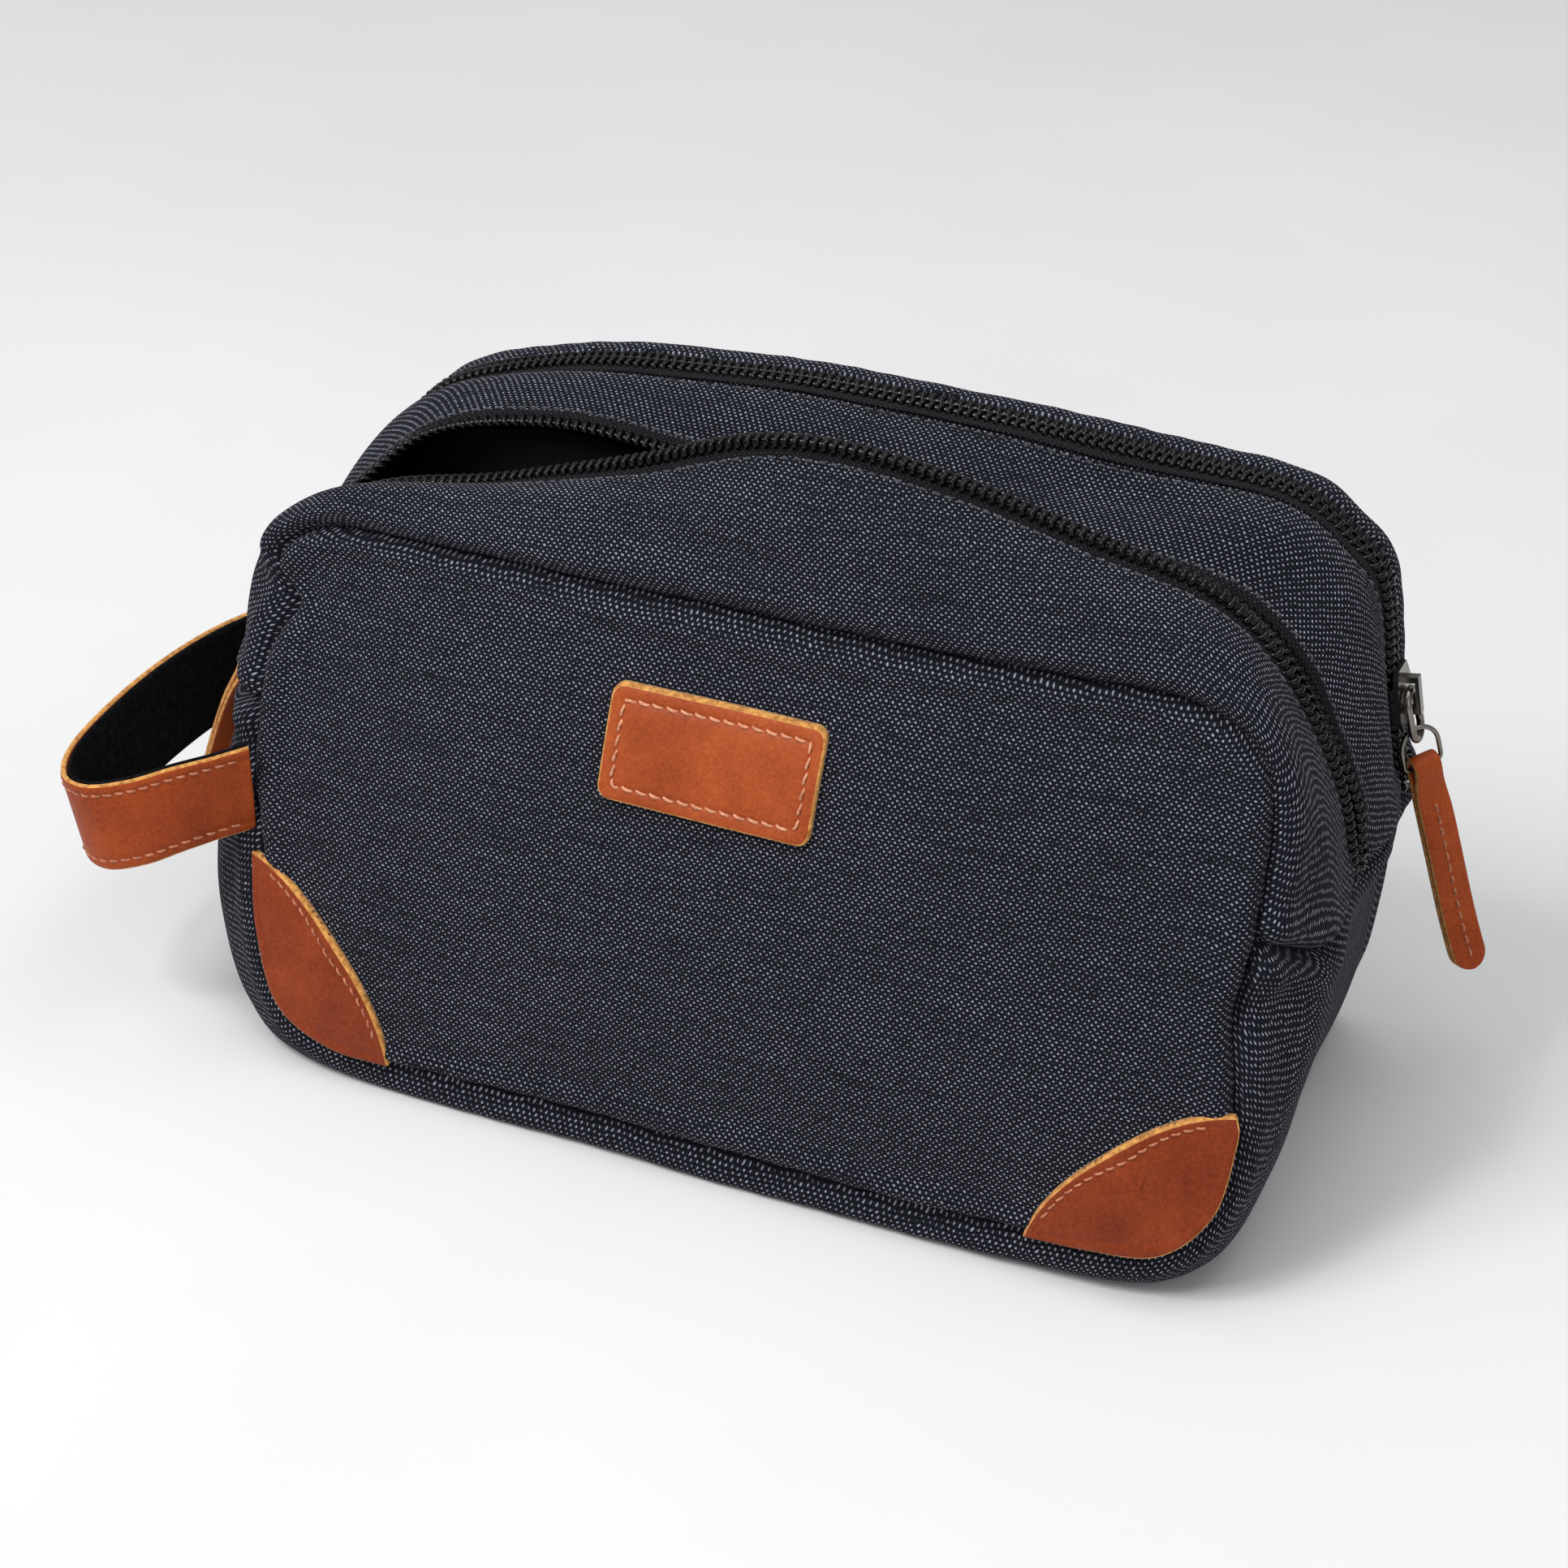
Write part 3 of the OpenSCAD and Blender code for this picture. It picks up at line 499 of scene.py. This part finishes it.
edge_mat = plain("leather_edge", [(0.33, 0.12, 0.018), (0.68, 0.33, 0.075)], 700.0, 0.85, 1500.0,
                 0.3 * MM, Sheen_Weight=0.1)
thread_mat = plain("thread", [(0.44, 0.14, 0.065), (0.76, 0.36, 0.2)], 1100.0, 0.6, 2500.0,
                   0.15 * MM, Sheen_Weight=0.1)
rust_thread_mat = plain("rust_thread", [(0.28, 0.075, 0.03), (0.55, 0.2, 0.1)], 1100.0, 0.6,
                        2500.0, 0.15 * MM, Sheen_Weight=0.1)
dark_thread_mat = plain("dark_thread", [(0.012, 0.013, 0.018), (0.05, 0.055, 0.07)], 900.0,
                        0.7, 2500.0, 0.12 * MM, Sheen_Weight=0.2)
felt_mat = plain("felt", [(0.002, 0.002, 0.002), (0.009, 0.009, 0.010)], 700.0, 0.95, 1800.0,
                 0.4 * MM, Specular_IOR_Level=0.06)
coil_mat = plain("coil", [(0.001, 0.001, 0.0013), (0.0025, 0.0025, 0.003)], 300.0, 0.12,
                 300.0, 0.004 * MM, Specular_IOR_Level=0.24)
metal_mat = plain("gunmetal", [(0.16, 0.145, 0.125), (0.27, 0.25, 0.225)], 160.0, 0.24, 900.0,
                  0.02 * MM, Metallic=1.0)


# ---------------------------------------------------------------- cloth pieces
def beside(row, roll, side, d):
    """The line d mm beside a coil row: along Y at the foot of the left run, then toward
    the roll."""
    w = np.clip((np.arange(len(row)) - 1) / 2, 0, 1)[:, None]
    way = np.array([0, side, 0]) * (1 - w) + unit(roll - row) * w
    t = unit(np.gradient(row, axis=0))
    return row + d * unit(way - np.sum(way * t, -1, keepdims=True) * t)


def toward(a, b, d):
    """The line d mm from a toward b."""
    return a + unit(b - a) * d


def track(y):
    """The rear zip's line, y mm behind its middle."""
    return rear_track + np.array([0, y, 0])


edge_gap = COIL_GAP + REAR_TAPE_SHOW
front_edge = beside(mouth_front, top_roll, -1, TAPE_SHOW)
middle_edge = beside(mouth_rear, middle_roll, 1, TAPE_SHOW)
front_rows = skin([top_seam, top_roll, front_edge], AROUND, 34)
middle_rows = skin([middle_edge, middle_roll, track(-edge_gap)], AROUND, 30)
rear_rows = skin([track(edge_gap), back_top], AROUND, 8)
low_rows = skin([low_seam, low_roll, low_side, low_rear, back_low], AROUND, 84)


def join_ends(rows, upper):
    """Bring the end columns of rows onto the ends of the upper pieces, as the cross seams do."""
    rows = rows.copy()
    for end in (0, -1):
        edge = np.concatenate([piece[:, end] for piece in upper])
        run, own = arc(edge, 0), arc(rows[:, end], 0)
        shift = sample(own / own[-1], run / run[-1], edge) - rows[:, end]
        length = arc(rows, 1)
        away = length if end == 0 else length[:, -1:] - length
        rows += shift[:, None] * np.exp(-(away / 9.0) ** 2)[..., None]
    return rows


low_rows = join_ends(low_rows, [front_rows, middle_rows, rear_rows])

for name, rows, seams in (("front_gusset", front_rows, (True, False)),
                          ("middle_gusset", middle_rows, (False, False)),
                          ("rear_gusset", rear_rows, (False, True)),
                          ("lower_gusset", low_rows, (True, True))):
    shell(name + "_canvas", rows, 0.0, CANVAS, seams, canvas_mat, "canvas", [name])
    shell(name + "_inner", rows, CANVAS + PLY_GAP, LINING, seams, lining_mat, "lining",
          [name + "_lining"])


def swell(x, z, height, half, middle, reach):
    """A panel's bulge, half wide each way from its middle and reach high."""
    return height * np.maximum(0, 1 - (np.abs(x) / half) ** 3) \
        * np.maximum(0, 1 - (np.abs(z - middle) / reach) ** 3)


def front_point(x, z):
    bulge = swell(x, z, FRONT_SWELL, HALF - 4, FRONT_MID[1], 60)
    return np.stack([x, lean_y(z) - bulge, z], -1)


def back_point(x, z):
    return np.stack([x, BACK_Y + swell(x, z, BACK_SWELL, HALF, BACK_MID[1], 74), z], -1)


def outline(top, low, steps):
    """The closed line along top and back along low."""
    a = along(top, spread(len(top), steps))
    b = along(low, spread(len(low), steps))[::-1]
    return np.concatenate([a, b[1:-1]])


def panel(name, top, low, front, depth, thick, material, slot, stands_for):
    """A panel from its outline in to its middle, swelling between its seams."""
    rim = outline(top, low, AROUND)
    middle = FRONT_MID if front else BACK_MID
    rings = []
    for k in 1 - spread(2, 46) ** 1.5 * 0.985:
        x, z = middle[0] + (rim[:, 0] - middle[0]) * k, middle[1] + (rim[:, 2] - middle[1]) * k
        q = front_point(x, z) if front else back_point(x, z)
        w = np.clip((1 - k) * 14, 0, 1)
        rings.append(rim * (1 - w) + q * w if k > 0.92 else q)
    rings = np.stack(rings)
    d = np.linalg.norm(rings - rings[:1], axis=-1)
    out = outward(rings)
    run = arc(np.concatenate([rings, rings[:, :1]], 1), 1)[:, :-1]
    slack = PANEL_SLACK + (1 - PANEL_SLACK) * np.exp(-(d / 4) ** 2)
    shape = waves(rings) * slack + groove(d) + puckers(run[:1], d) - depth
    top_face = rings + out * shape[..., None]
    under = top_face - out * thick
    rows, cols = rings.shape[:2]
    tall = 1 / math.cos(LEAN) if front else 1.0
    uv = np.stack([rings[..., 0], rings[..., 2] * tall], -1)
    m = rows * cols
    i = np.arange(cols)
    rim_faces = np.stack([i, i + m, (i + 1) % cols + m, (i + 1) % cols], -1)
    faces = [*grid_faces(rows, cols, closed=True, flip=not front),
             *grid_faces(rows, cols, m, closed=True, flip=front),
             *(rim_faces if front else rim_faces[:, ::-1]),
             list(i + m - cols)[::1 if front else -1], list(i + 2 * m - cols)[::-1 if front else 1]]
    sheet(name, top_face, under, faces, uv, material, slot, stands_for)


for side, top, low, front in (("front", top_seam, low_seam, True),
                              ("back", back_top, back_low, False)):
    panel(side + "_panel_canvas", top, low, front, 0.0, CANVAS, canvas_mat, "canvas",
          [side + "_panel"])
    panel(side + "_panel_inner", top, low, front, CANVAS + PLY_GAP, LINING, lining_mat,
          "lining", [side + "_panel_lining"])


# ---------------------------------------------------------------- zips
def zip_lift(points, ends):
    """How far a zip rises off the plain skin: with the cloth, and down into the cross seams
    at its ends."""
    return waves(points) + np.minimum(groove(ends), 0)


def tape(name, edge, row, node):
    """A zip's tape, from under the canvas to its coil row."""
    rows = skin([edge, row], AROUND, 6)
    out = outward(rows)
    lift = zip_lift(rows, from_ends(arc(rows, 1)))
    top, under = rows + out * (lift + 0.1)[..., None], rows + out * (lift - 0.5)[..., None]
    n_rows, n_cols = rows.shape[:2]
    m = n_rows * n_cols
    uv = np.stack([np.repeat(arc(rows[:1], 1), n_rows, 0), arc(rows, 0)], -1)
    a = np.arange(n_cols - 1)
    last = (n_rows - 1) * n_cols
    faces = np.concatenate([grid_faces(n_rows, n_cols), grid_faces(n_rows, n_cols, m, flip=True),
                            np.stack([a + 1, a, a + m, a + 1 + m], -1),
                            np.stack([last + a, last + a + 1, last + a + 1 + m, last + a + m], -1)])
    sheet(name, top, under, faces, uv, tape_mat, "tape", [node])


# At both feet of the front zip its two tapes come together under the coils.
feet = np.zeros_like(mouth_front)
feet[[0, -1], 1] = FOOT_CLOSED
tape("front_tape_a", toward(front_edge, top_roll, TAPE_UNDER), mouth_front + feet,
     "front_zip_tape_front")
tape("front_tape_b", mouth_rear - feet, toward(middle_edge, middle_roll, TAPE_UNDER),
     "front_zip_tape_rear")
tape("rear_tape_a", track(-edge_gap - REAR_TAPE_UNDER), track(-TAPE_GAP), "rear_zip_tape_front")
tape("rear_tape_b", track(TAPE_GAP), track(edge_gap + REAR_TAPE_UNDER), "rear_zip_tape_rear")


def tubes(paths, radius, sides):
    """Points and faces of closed tubes along several paths of one length."""
    paths = np.asarray(paths)
    k, n = paths.shape[:2]
    d = unit(np.gradient(paths, axis=1))
    ref = np.where(np.abs(d[..., 2:3]) > 0.9, np.array([1.0, 0, 0]), np.array([0, 0, 1.0]))
    u = unit(np.cross(d, ref))
    v = np.cross(d, u)
    a = np.arange(sides) * 2 * np.pi / sides
    r = np.broadcast_to(np.asarray(radius, float), (n,))[None, :, None, None]
    ring = np.cos(a)[:, None] * u[:, :, None] + np.sin(a)[:, None] * v[:, :, None]
    pts = paths[:, :, None] + r * ring
    faces, caps = [], []
    for t in range(k):
        start, end = t * n * sides, (t + 1) * n * sides
        faces.extend(grid_faces(n, sides, start, closed=True, flip=True))
        caps.append(list(range(start, start + sides)))
        caps.append(list(range(end - sides, end))[::-1])
    return pts.reshape(-1, 3), [*faces, *caps]


def coil(name, curve, side, phase, node):
    """One row of nylon coil: a wire wound round a core, phase of a turn along."""
    dense = along(curve, spread(len(curve), 1200))
    length = length_along(dense)
    turns = int(length[-1] / COIL_PITCH)
    s = np.linspace(0, length[-1], turns * 12)
    c = sample(s, length, dense)
    t = unit(np.gradient(c, axis=0))
    n = outward(c)
    w = unit(np.cross(t, n)) * side
    core = c + n * zip_lift(c, from_ends(s))[:, None]
    phi = 2 * np.pi * (s / COIL_PITCH + phase)
    across, up = np.cos(phi)[:, None], np.sin(phi)[:, None]
    wire = core + w * COIL_WIDE * across + n * COIL_HIGH * up + t * COIL_SLANT * across
    v1, f1 = tubes([wire], WIRE_R, 8)
    v2, f2 = tubes([core[::6]], CORE_R, 8)
    faces = list(f1) + [[int(i) + len(v1) for i in f] for f in f2]
    obj = collection_mesh(name, np.concatenate([v1, v2]), faces, None, [coil_mat])
    place(obj, "bag", "coil", node)


coil("front_coil_a", mouth_front, 1, 0.0, "front_zip_coil_front")
coil("front_coil_b", mouth_rear, -1, 0.5, "front_zip_coil_rear")
coil("rear_coil_a", track(-COIL_GAP + CLOSED), 1, 0.0, "rear_zip_coil_front")
coil("rear_coil_b", track(COIL_GAP - CLOSED), -1, 0.5, "rear_zip_coil_rear")


# ---------------------------------------------------------------- stitches
def stitches(name, line, up, row, material, slot, body, stands_for=(), slant=0.0):
    """Single stitches along a line of points that lie on a surface, up pointing out of it."""
    pitch, length, radius = row
    run = length_along(line)
    count = max(1, int(run[-1] / pitch))
    gap = (run[-1] - (count - 1) * pitch) / 2
    t = np.linspace(-0.5, 0.5, 7)
    rise = radius * (1 - (2 * np.abs(t)) ** 3 * 2.2) - 0.25 * radius
    paths = []
    for k in range(count):
        s = gap + k * pitch + t * length
        p, n = sample(s, run, line), unit(sample(s, run, up))
        side = unit(np.cross(unit(p[-1] - p[0])[None], n))
        paths.append(p + n * rise[:, None] + side * (slant * t * length)[:, None])
    v, f = tubes(paths, radius * (1 - 0.45 * (2 * np.abs(t)) ** 4), 6)
    place(collection_mesh(name, v, f, None, [material]), body, slot, *stands_for)


for name, edge, roll, d in (("front_topstitch", front_edge, top_roll, 2.6),
                            ("middle_topstitch", middle_edge, middle_roll, 2.6),
                            ("middle_topstitch_rear", track(-edge_gap), middle_roll, 2.6),
                            ("rear_topstitch", track(edge_gap), back_top, 2.2)):
    line = along(toward(edge, roll, d), spread(len(edge), 400))
    up = outward(line)
    stitches(name, line + up * waves(line)[:, None], up, TOP_ROW, dark_thread_mat, "canvas", "bag")


# ---------------------------------------------------------------- leather patches
def rounded(w, h, r):
    """Outline of a rounded rectangle, anticlockwise seen from the front."""
    pts = []
    for cx, cz, start in ((w / 2 - r, -h / 2 + r, -90), (w / 2 - r, h / 2 - r, 0),
                          (-w / 2 + r, h / 2 - r, 90), (-w / 2 + r, -h / 2 + r, 180)):
        for k in range(15):
            a = math.radians(start + 90 * k / 14)
            pts.append((cx + r * math.cos(a), cz + r * math.sin(a)))
    return even_ring(np.array(pts))


def panel_skin(q):
    """Points and directions on the front panel's cloth at the x, z pairs q."""
    p = front_point(q[:, 0], q[:, 1])
    n = outward(p)
    return p + n * (waves(p) * PANEL_SLACK)[:, None], n


def slab(name, rings, heights, material, node):
    """A leather piece on the front panel, from rings of x, z pairs, the first its edge.
    heights gives each ring's height above the full thickness."""
    base, n = panel_skin(rings[0])
    fray = 0.12 * np.sin(np.arange(len(base)) * 2.4) * np.sin(np.arange(len(base)) * 0.37)
    rows = [base + n * 0.05, base + n * (LAID_ON + LEATHER * 0.5 + fray)[:, None]]
    for q, height in zip(rings, heights):
        p, n = panel_skin(q)
        rows.append(p + n * (LAID_ON + LEATHER + height))
    k, cols = len(rows), len(base)
    faces = [*grid_faces(k, cols, closed=True), list(np.arange(cols) + (k - 1) * cols),
             list(np.arange(cols))[::-1]]
    slots = [1 if j < 4 else 0 for j in range(k - 1) for _ in range(cols)] + [0, 0]
    obj = collection_mesh(name, np.concatenate(rows), faces, None, [material, edge_mat], slots)
    place(obj, "bag", "leather", node)


def patch_stitches(name, q, sink, row, material, node):
    """Stitches in the top of a patch, sink mm down, along the x, z pairs q."""
    p, n = panel_skin(q)
    stitches(name, p + n * (LAID_ON + LEATHER - sink), n, row, material, "thread", "bag", [node],
             slant=0.2)


insets = [0, 0.25, 0.6, 1.2, 2.2, 2.9, 3.3, PATCH_STITCH_IN, 3.9, 4.3, 5.0, 6.5, 9, 11.5]
depths = [-0.7, -0.25, -0.08, 0, 0, -0.12, -0.3, -0.38, -0.3, -0.12, 0, 0.05, 0.05, 0.05]
rings = [PATCH_MID + rounded(PATCH_W - 2 * d, PATCH_H - 2 * d, max(PATCH_R - d * 0.5, 0.8))
         * [1, math.cos(LEAN)] for d in insets]
slab("patch_leather", rings, depths, leather_mat, "front_patch")
ring = rings[insets.index(PATCH_STITCH_IN)]
patch_stitches("patch_thread", np.concatenate([ring, ring[:1]]), 0.3, PATCH_ROW, thread_mat,
               "patch_stitching")


def corner(side, seam):
    """A corner patch between a stretch of the panel's seam and a bowed free edge."""
    k = 120
    sewn = along(seam, spread(len(seam), k))[:, [0, 2]]
    a, b = sewn[0], sewn[-1]
    t = np.linspace(0, 1, k)[:, None]
    normal = unit(np.array([[a[1] - b[1], b[0] - a[0]]]))
    bow = CORNER_BOW * 4 * t * (1 - t) * (1 + 0.35 * (1 - 4 * t * (1 - t)))
    free = a * (1 - t) + b * t + normal * bow
    outer = np.concatenate([sewn, free[::-1][1:-1]])
    centre = outer.mean(0)
    ring = even_ring(outer)
    inward = unit(centre - ring)
    rings = [ring + inward * d for d in (0.3, 0.5, 0.9, 1.6, 2.6, 3.2, 3.6, 4.0, 4.8, 7, 11)]
    heights = [-0.9, -0.4, -0.12, 0, 0, -0.15, -0.25, -0.15, 0, 0.05, 0.1]
    name = "corner_leather_" + side
    slab(name, rings, heights, corner_leather_mat, "corner_patch_" + side)
    line = free + unit(centre - free) * 3.4
    patch_stitches(name + "_thread", line[6:-6], 0.2, CORNER_ROW, rust_thread_mat,
                   "corner_stitching_" + side)


def between(a, b, part):
    """The station part of the way from a to b."""
    return [a * (1 - part) + b * part]


corner("left", np.concatenate([low_seam[2:6], between(low_seam[5], low_seam[6], 0.42)]))
corner("right", np.concatenate([between(low_seam[8], low_seam[9], 0.67), low_seam[9:13],
                                between(low_seam[12], low_seam[13], 0.27)]))

# ---------------------------------------------------------------- handle
strap_points = np.array([(-131.5, -48, 66), (-138.5, -55, 65), (-145, -61, 63.5),
                         (-154.5, -66.5, 60), (-166, -68.5, 57), (-176, -63, 56),
                         (-181.5, -48, 57), (-182.5, -20, 58.5), (-181, 8, 57.5),
                         (-176, 34, 55), (-165, 55, 53.5), (-150, 68, 54), (-139, 64, 55)], float)
stations = spread(len(strap_points), 240)
strap = along(strap_points, stations)
strap_dir = unit(np.gradient(strap, axis=0) * [1, 1, 0])
strap_out = np.stack([-strap_dir[:, 1], strap_dir[:, 0], 0 * stations], -1)
way = np.clip((stations - 1) / (len(strap_points) - 3), 0, 1)
strap_up = np.stack([-STRAP_LEAN * np.sin(np.pi * way), 0 * way, STRAP_W / 2 + 0 * way], -1)
ripple = 0.35 * np.sin(np.linspace(0, 19, len(strap)))
strap = strap + strap_out * ripple[:, None]


def strap_layer(name, outer, thick, material, slot, node, stitched):
    """One layer of the strap, its section rounded at both edges."""
    zs = [-1, -0.96, -0.9, -0.82, -STITCH_AT, -0.72, -0.5, 0,
          0.5, 0.72, STITCH_AT, 0.82, 0.9, 0.96, 1]
    section = []
    for face, heights in ((0, zs), (1, zs[::-1])):
        for z in heights:
            rounding = 0.35 * thick * (max(0.0, abs(z) - 0.9) / 0.1) ** 2
            dent = STITCH_SINK if stitched and not face and abs(z) == STITCH_AT else 0.0
            section.append((outer - face * thick - (1 - 2 * face) * rounding - dent, z))
    section = np.array(section)
    pts = strap[:, None] + strap_out[:, None] * section[None, :, :1] \
        + strap_up[:, None] * section[None, :, 1:]
    n, cols = pts.shape[:2]
    faces = [*grid_faces(n, cols, closed=True), list(range(cols))[::-1],
             list(range((n - 1) * cols, n * cols))]
    w = len(zs)
    rim = [1 if i in (0, w - 2, w - 1, w, 2 * w - 2, 2 * w - 1) else 0 for i in range(cols)]
    slots = rim * (n - 1) + [0, 0] if stitched else [0] * ((n - 1) * cols + 2)
    obj = collection_mesh(name, pts.reshape(-1, 3), faces, None, [material, edge_mat], slots)
    place(obj, "handle", slot, node)


strap_layer("handle_outer", 0.0, LEATHER, strap_leather_mat, "leather", "handle_leather", True)
strap_layer("handle_felt", -LEATHER - 0.02, FELT, felt_mat, "felt", "handle_lining", False)
for name, side, stands_for in (("handle_thread_a", -1, ["handle_stitching"]),
                               ("handle_thread_b", 1, ())):
    line = strap - strap_out * STITCH_SINK + side * STITCH_AT * strap_up
    stitches(name, line[4:-4], strap_out[4:-4], STRAP_ROW, rust_thread_mat, "thread", "handle",
             stands_for, slant=0.15)


# ---------------------------------------------------------------- zip pulls
def turn(axis, degrees):
    """The matrix of a turn about Z or Y."""
    a = math.radians(degrees)
    ca, sa = math.cos(a), math.sin(a)
    if axis == "z":
        return np.array([(ca, -sa, 0), (sa, ca, 0), (0, 0, 1)])
    return np.array([(ca, 0, sa), (0, 1, 0), (-sa, 0, ca)])


def tab(end, hinge, hang, spin, curl):
    """A leather pull: one strip folded round the link's bar, its two leaves sewn together.
    It hangs from the hinge of the slider's ring, hang degrees out, and curls as it goes."""
    pose = turn("y", hang) @ turn("z", spin + LINK_TURN)

    def world(p):
        return (p + [0, 0, -LINK_DROP]) @ pose.T + np.array(hinge)

    d = np.concatenate([TAB_LEN - 4.5 * (1 - np.cos(np.linspace(0, np.pi / 2, 12))),
                        np.linspace(TAB_LEN - 5.5, 1.0, 60)])
    loop_r = LOOP_R + LEAF / 2
    off = LEAF / 2 + 0.04 + (loop_r - LEAF / 2) * np.exp(-(d / 4.2) ** 2)
    bow = curl * d * d + 0.9 * np.sin(d / 11) * np.clip(d / 12, 0, 1)
    a = np.linspace(0, np.pi, 17)[1:-1]
    y = np.concatenate([bow + off, loop_r * np.cos(a), (bow - off)[::-1]])
    z = np.concatenate([-d, loop_r * np.sin(a), -d[::-1]])
    reach = np.concatenate([d, 0 * a, d[::-1]])
    tip = np.clip((reach - (TAB_LEN - TAB_W / 2)) / (TAB_W / 2), 0, 0.995)
    half = TAB_W / 2 * np.sqrt(1 - tip ** 2) * (1 - 0.2 * np.exp(-(reach / 7) ** 2))
    path = np.stack([0 * y, y, z], -1)
    t = unit(np.gradient(path, axis=0))
    n = np.stack([0 * y, t[:, 2], -t[:, 1]], -1)
    ss = np.array([-1, -0.97, -0.88, -0.4, 0, 0.4, 0.88, 0.97, 1])
    hh = LEAF / 2 * np.array([0.55, 0.85, 1, 1, 1, 1, 1, 0.85, 0.55])
    section = np.concatenate([np.stack([ss, hh], -1), np.stack([ss[::-1], -hh[::-1]], -1)])
    pts = path[:, None] + section[None, :, :1] * half[:, None, None] * [1, 0, 0] \
        + section[None, :, 1:] * n[:, None]
    rows, cols = pts.shape[:2]
    faces = [*grid_faces(rows, cols, closed=True, flip=True), list(range(cols)),
             list(range((rows - 1) * cols, rows * cols))[::-1]]
    rim = [1 if i in (0, 7, 8, 9, 16, 17) else 0 for i in range(cols)]
    obj = collection_mesh(end + "_tab_leather", world(pts.reshape(-1, 3)), faces, None,
                          [strap_leather_mat, edge_mat], rim * (rows - 1) + [1, 1])
    place(obj, end + "_tab", "leather", end + "_pull_tab")
    row = slice(8, 62)
    line, up = path[row] + n[row] * (LEAF / 2 - 0.12), n[row]
    stitches(end + "_tab_thread", world(line), up @ pose.T, TAB_ROW, rust_thread_mat,
             "thread", end + "_tab", [end + "_tab_stitching"])


tab("rear", (135.947, 50.0, 106.759), -15, -90, 0.0022)
tab("front", (-145.55, -8.0, 94.5), 25, 90, -0.0024)

# ---------------------------------------------------------------- divider
rim = outline(middle_roll, low_side, 150)[:, [0, 2]]
rim = DIVIDER_MID + (rim - DIVIDER_MID) * DIVIDER_SIZE
scale = np.linspace(1, 0.02, 24)
flat = DIVIDER_MID + (rim[None] - DIVIDER_MID) * scale[:, None, None]
slack = 0.9 * np.sin(flat[..., 0] / 21 + flat[..., 1] / 37) * (1 - scale ** 4)[:, None]
front_side = np.stack([flat[..., 0], DIVIDER_Y - LINING + slack, flat[..., 1]], -1)
n_rows, n_cols = front_side.shape[:2]
m = n_rows * n_cols
i = np.arange(n_cols)
faces = [*grid_faces(n_rows, n_cols, closed=True, flip=True),
         *grid_faces(n_rows, n_cols, m, closed=True),
         *np.stack([i, (i + 1) % n_cols, (i + 1) % n_cols + m, i + m], -1),
         list(i + m - n_cols)[::-1], list(i + 2 * m - n_cols)]
sheet("divider_cloth", front_side, front_side + [0, LINING, 0], faces, flat, lining_mat,
      "lining", ["divider"])

# ---------------------------------------------------------------- materials on CAD pieces
for node, obj in nodes.items():
    if any(word in node for word in ("slider", "ring", "link")):
        obj.data.materials.clear()
        obj.data.materials.append(metal_mat)

# ---------------------------------------------------------------- stage and light
mesh = bpy.data.meshes.new("floor")
mesh.from_pydata([(-6, -6, 0), (6, -6, 0), (6, 6, 0), (-6, 6, 0)], [], [(0, 1, 2, 3)])
mesh.materials.append(plain("floor", [(0.66, 0.66, 0.66), (0.7, 0.7, 0.7)], 3.0, 0.55, 60.0,
                            0.02 * MM))
floor = bpy.data.objects.new("floor", mesh)
scene.collection.objects.link(floor)


def area_light(name, at, aim, size, power):
    data = bpy.data.lights.new(name, "AREA")
    data.shape, data.size, data.energy = "SQUARE", size, power
    obj = bpy.data.objects.new(name, data)
    obj.location = at
    obj.rotation_euler = (Vector(aim) - Vector(at)).to_track_quat("-Z", "Y").to_euler()
    scene.collection.objects.link(obj)


# A soft key, a small lamp for the glints in the coils, a fill and a broad top light.
area_light("key", (-0.75, -0.85, 1.45), (0, 0, 0.07), 0.8, 20)
area_light("glint", (-0.45, -0.55, 1.5), (0, 0, 0.07), 0.16, 3)
area_light("fill", (1.2, -1.0, 0.9), (0, 0, 0.07), 1.2, 4.5)
area_light("top", (0.1, 0.2, 1.7), (0, 0, 0.05), 1.4, 14)
world = bpy.data.worlds.new("world")
scene.world = world
world.use_nodes = True
background = world.node_tree.nodes["Background"]
background.inputs["Color"].default_value = (0.96, 0.98, 1.0, 1)
background.inputs["Strength"].default_value = 0.42
scene.view_settings.view_transform = "Standard"
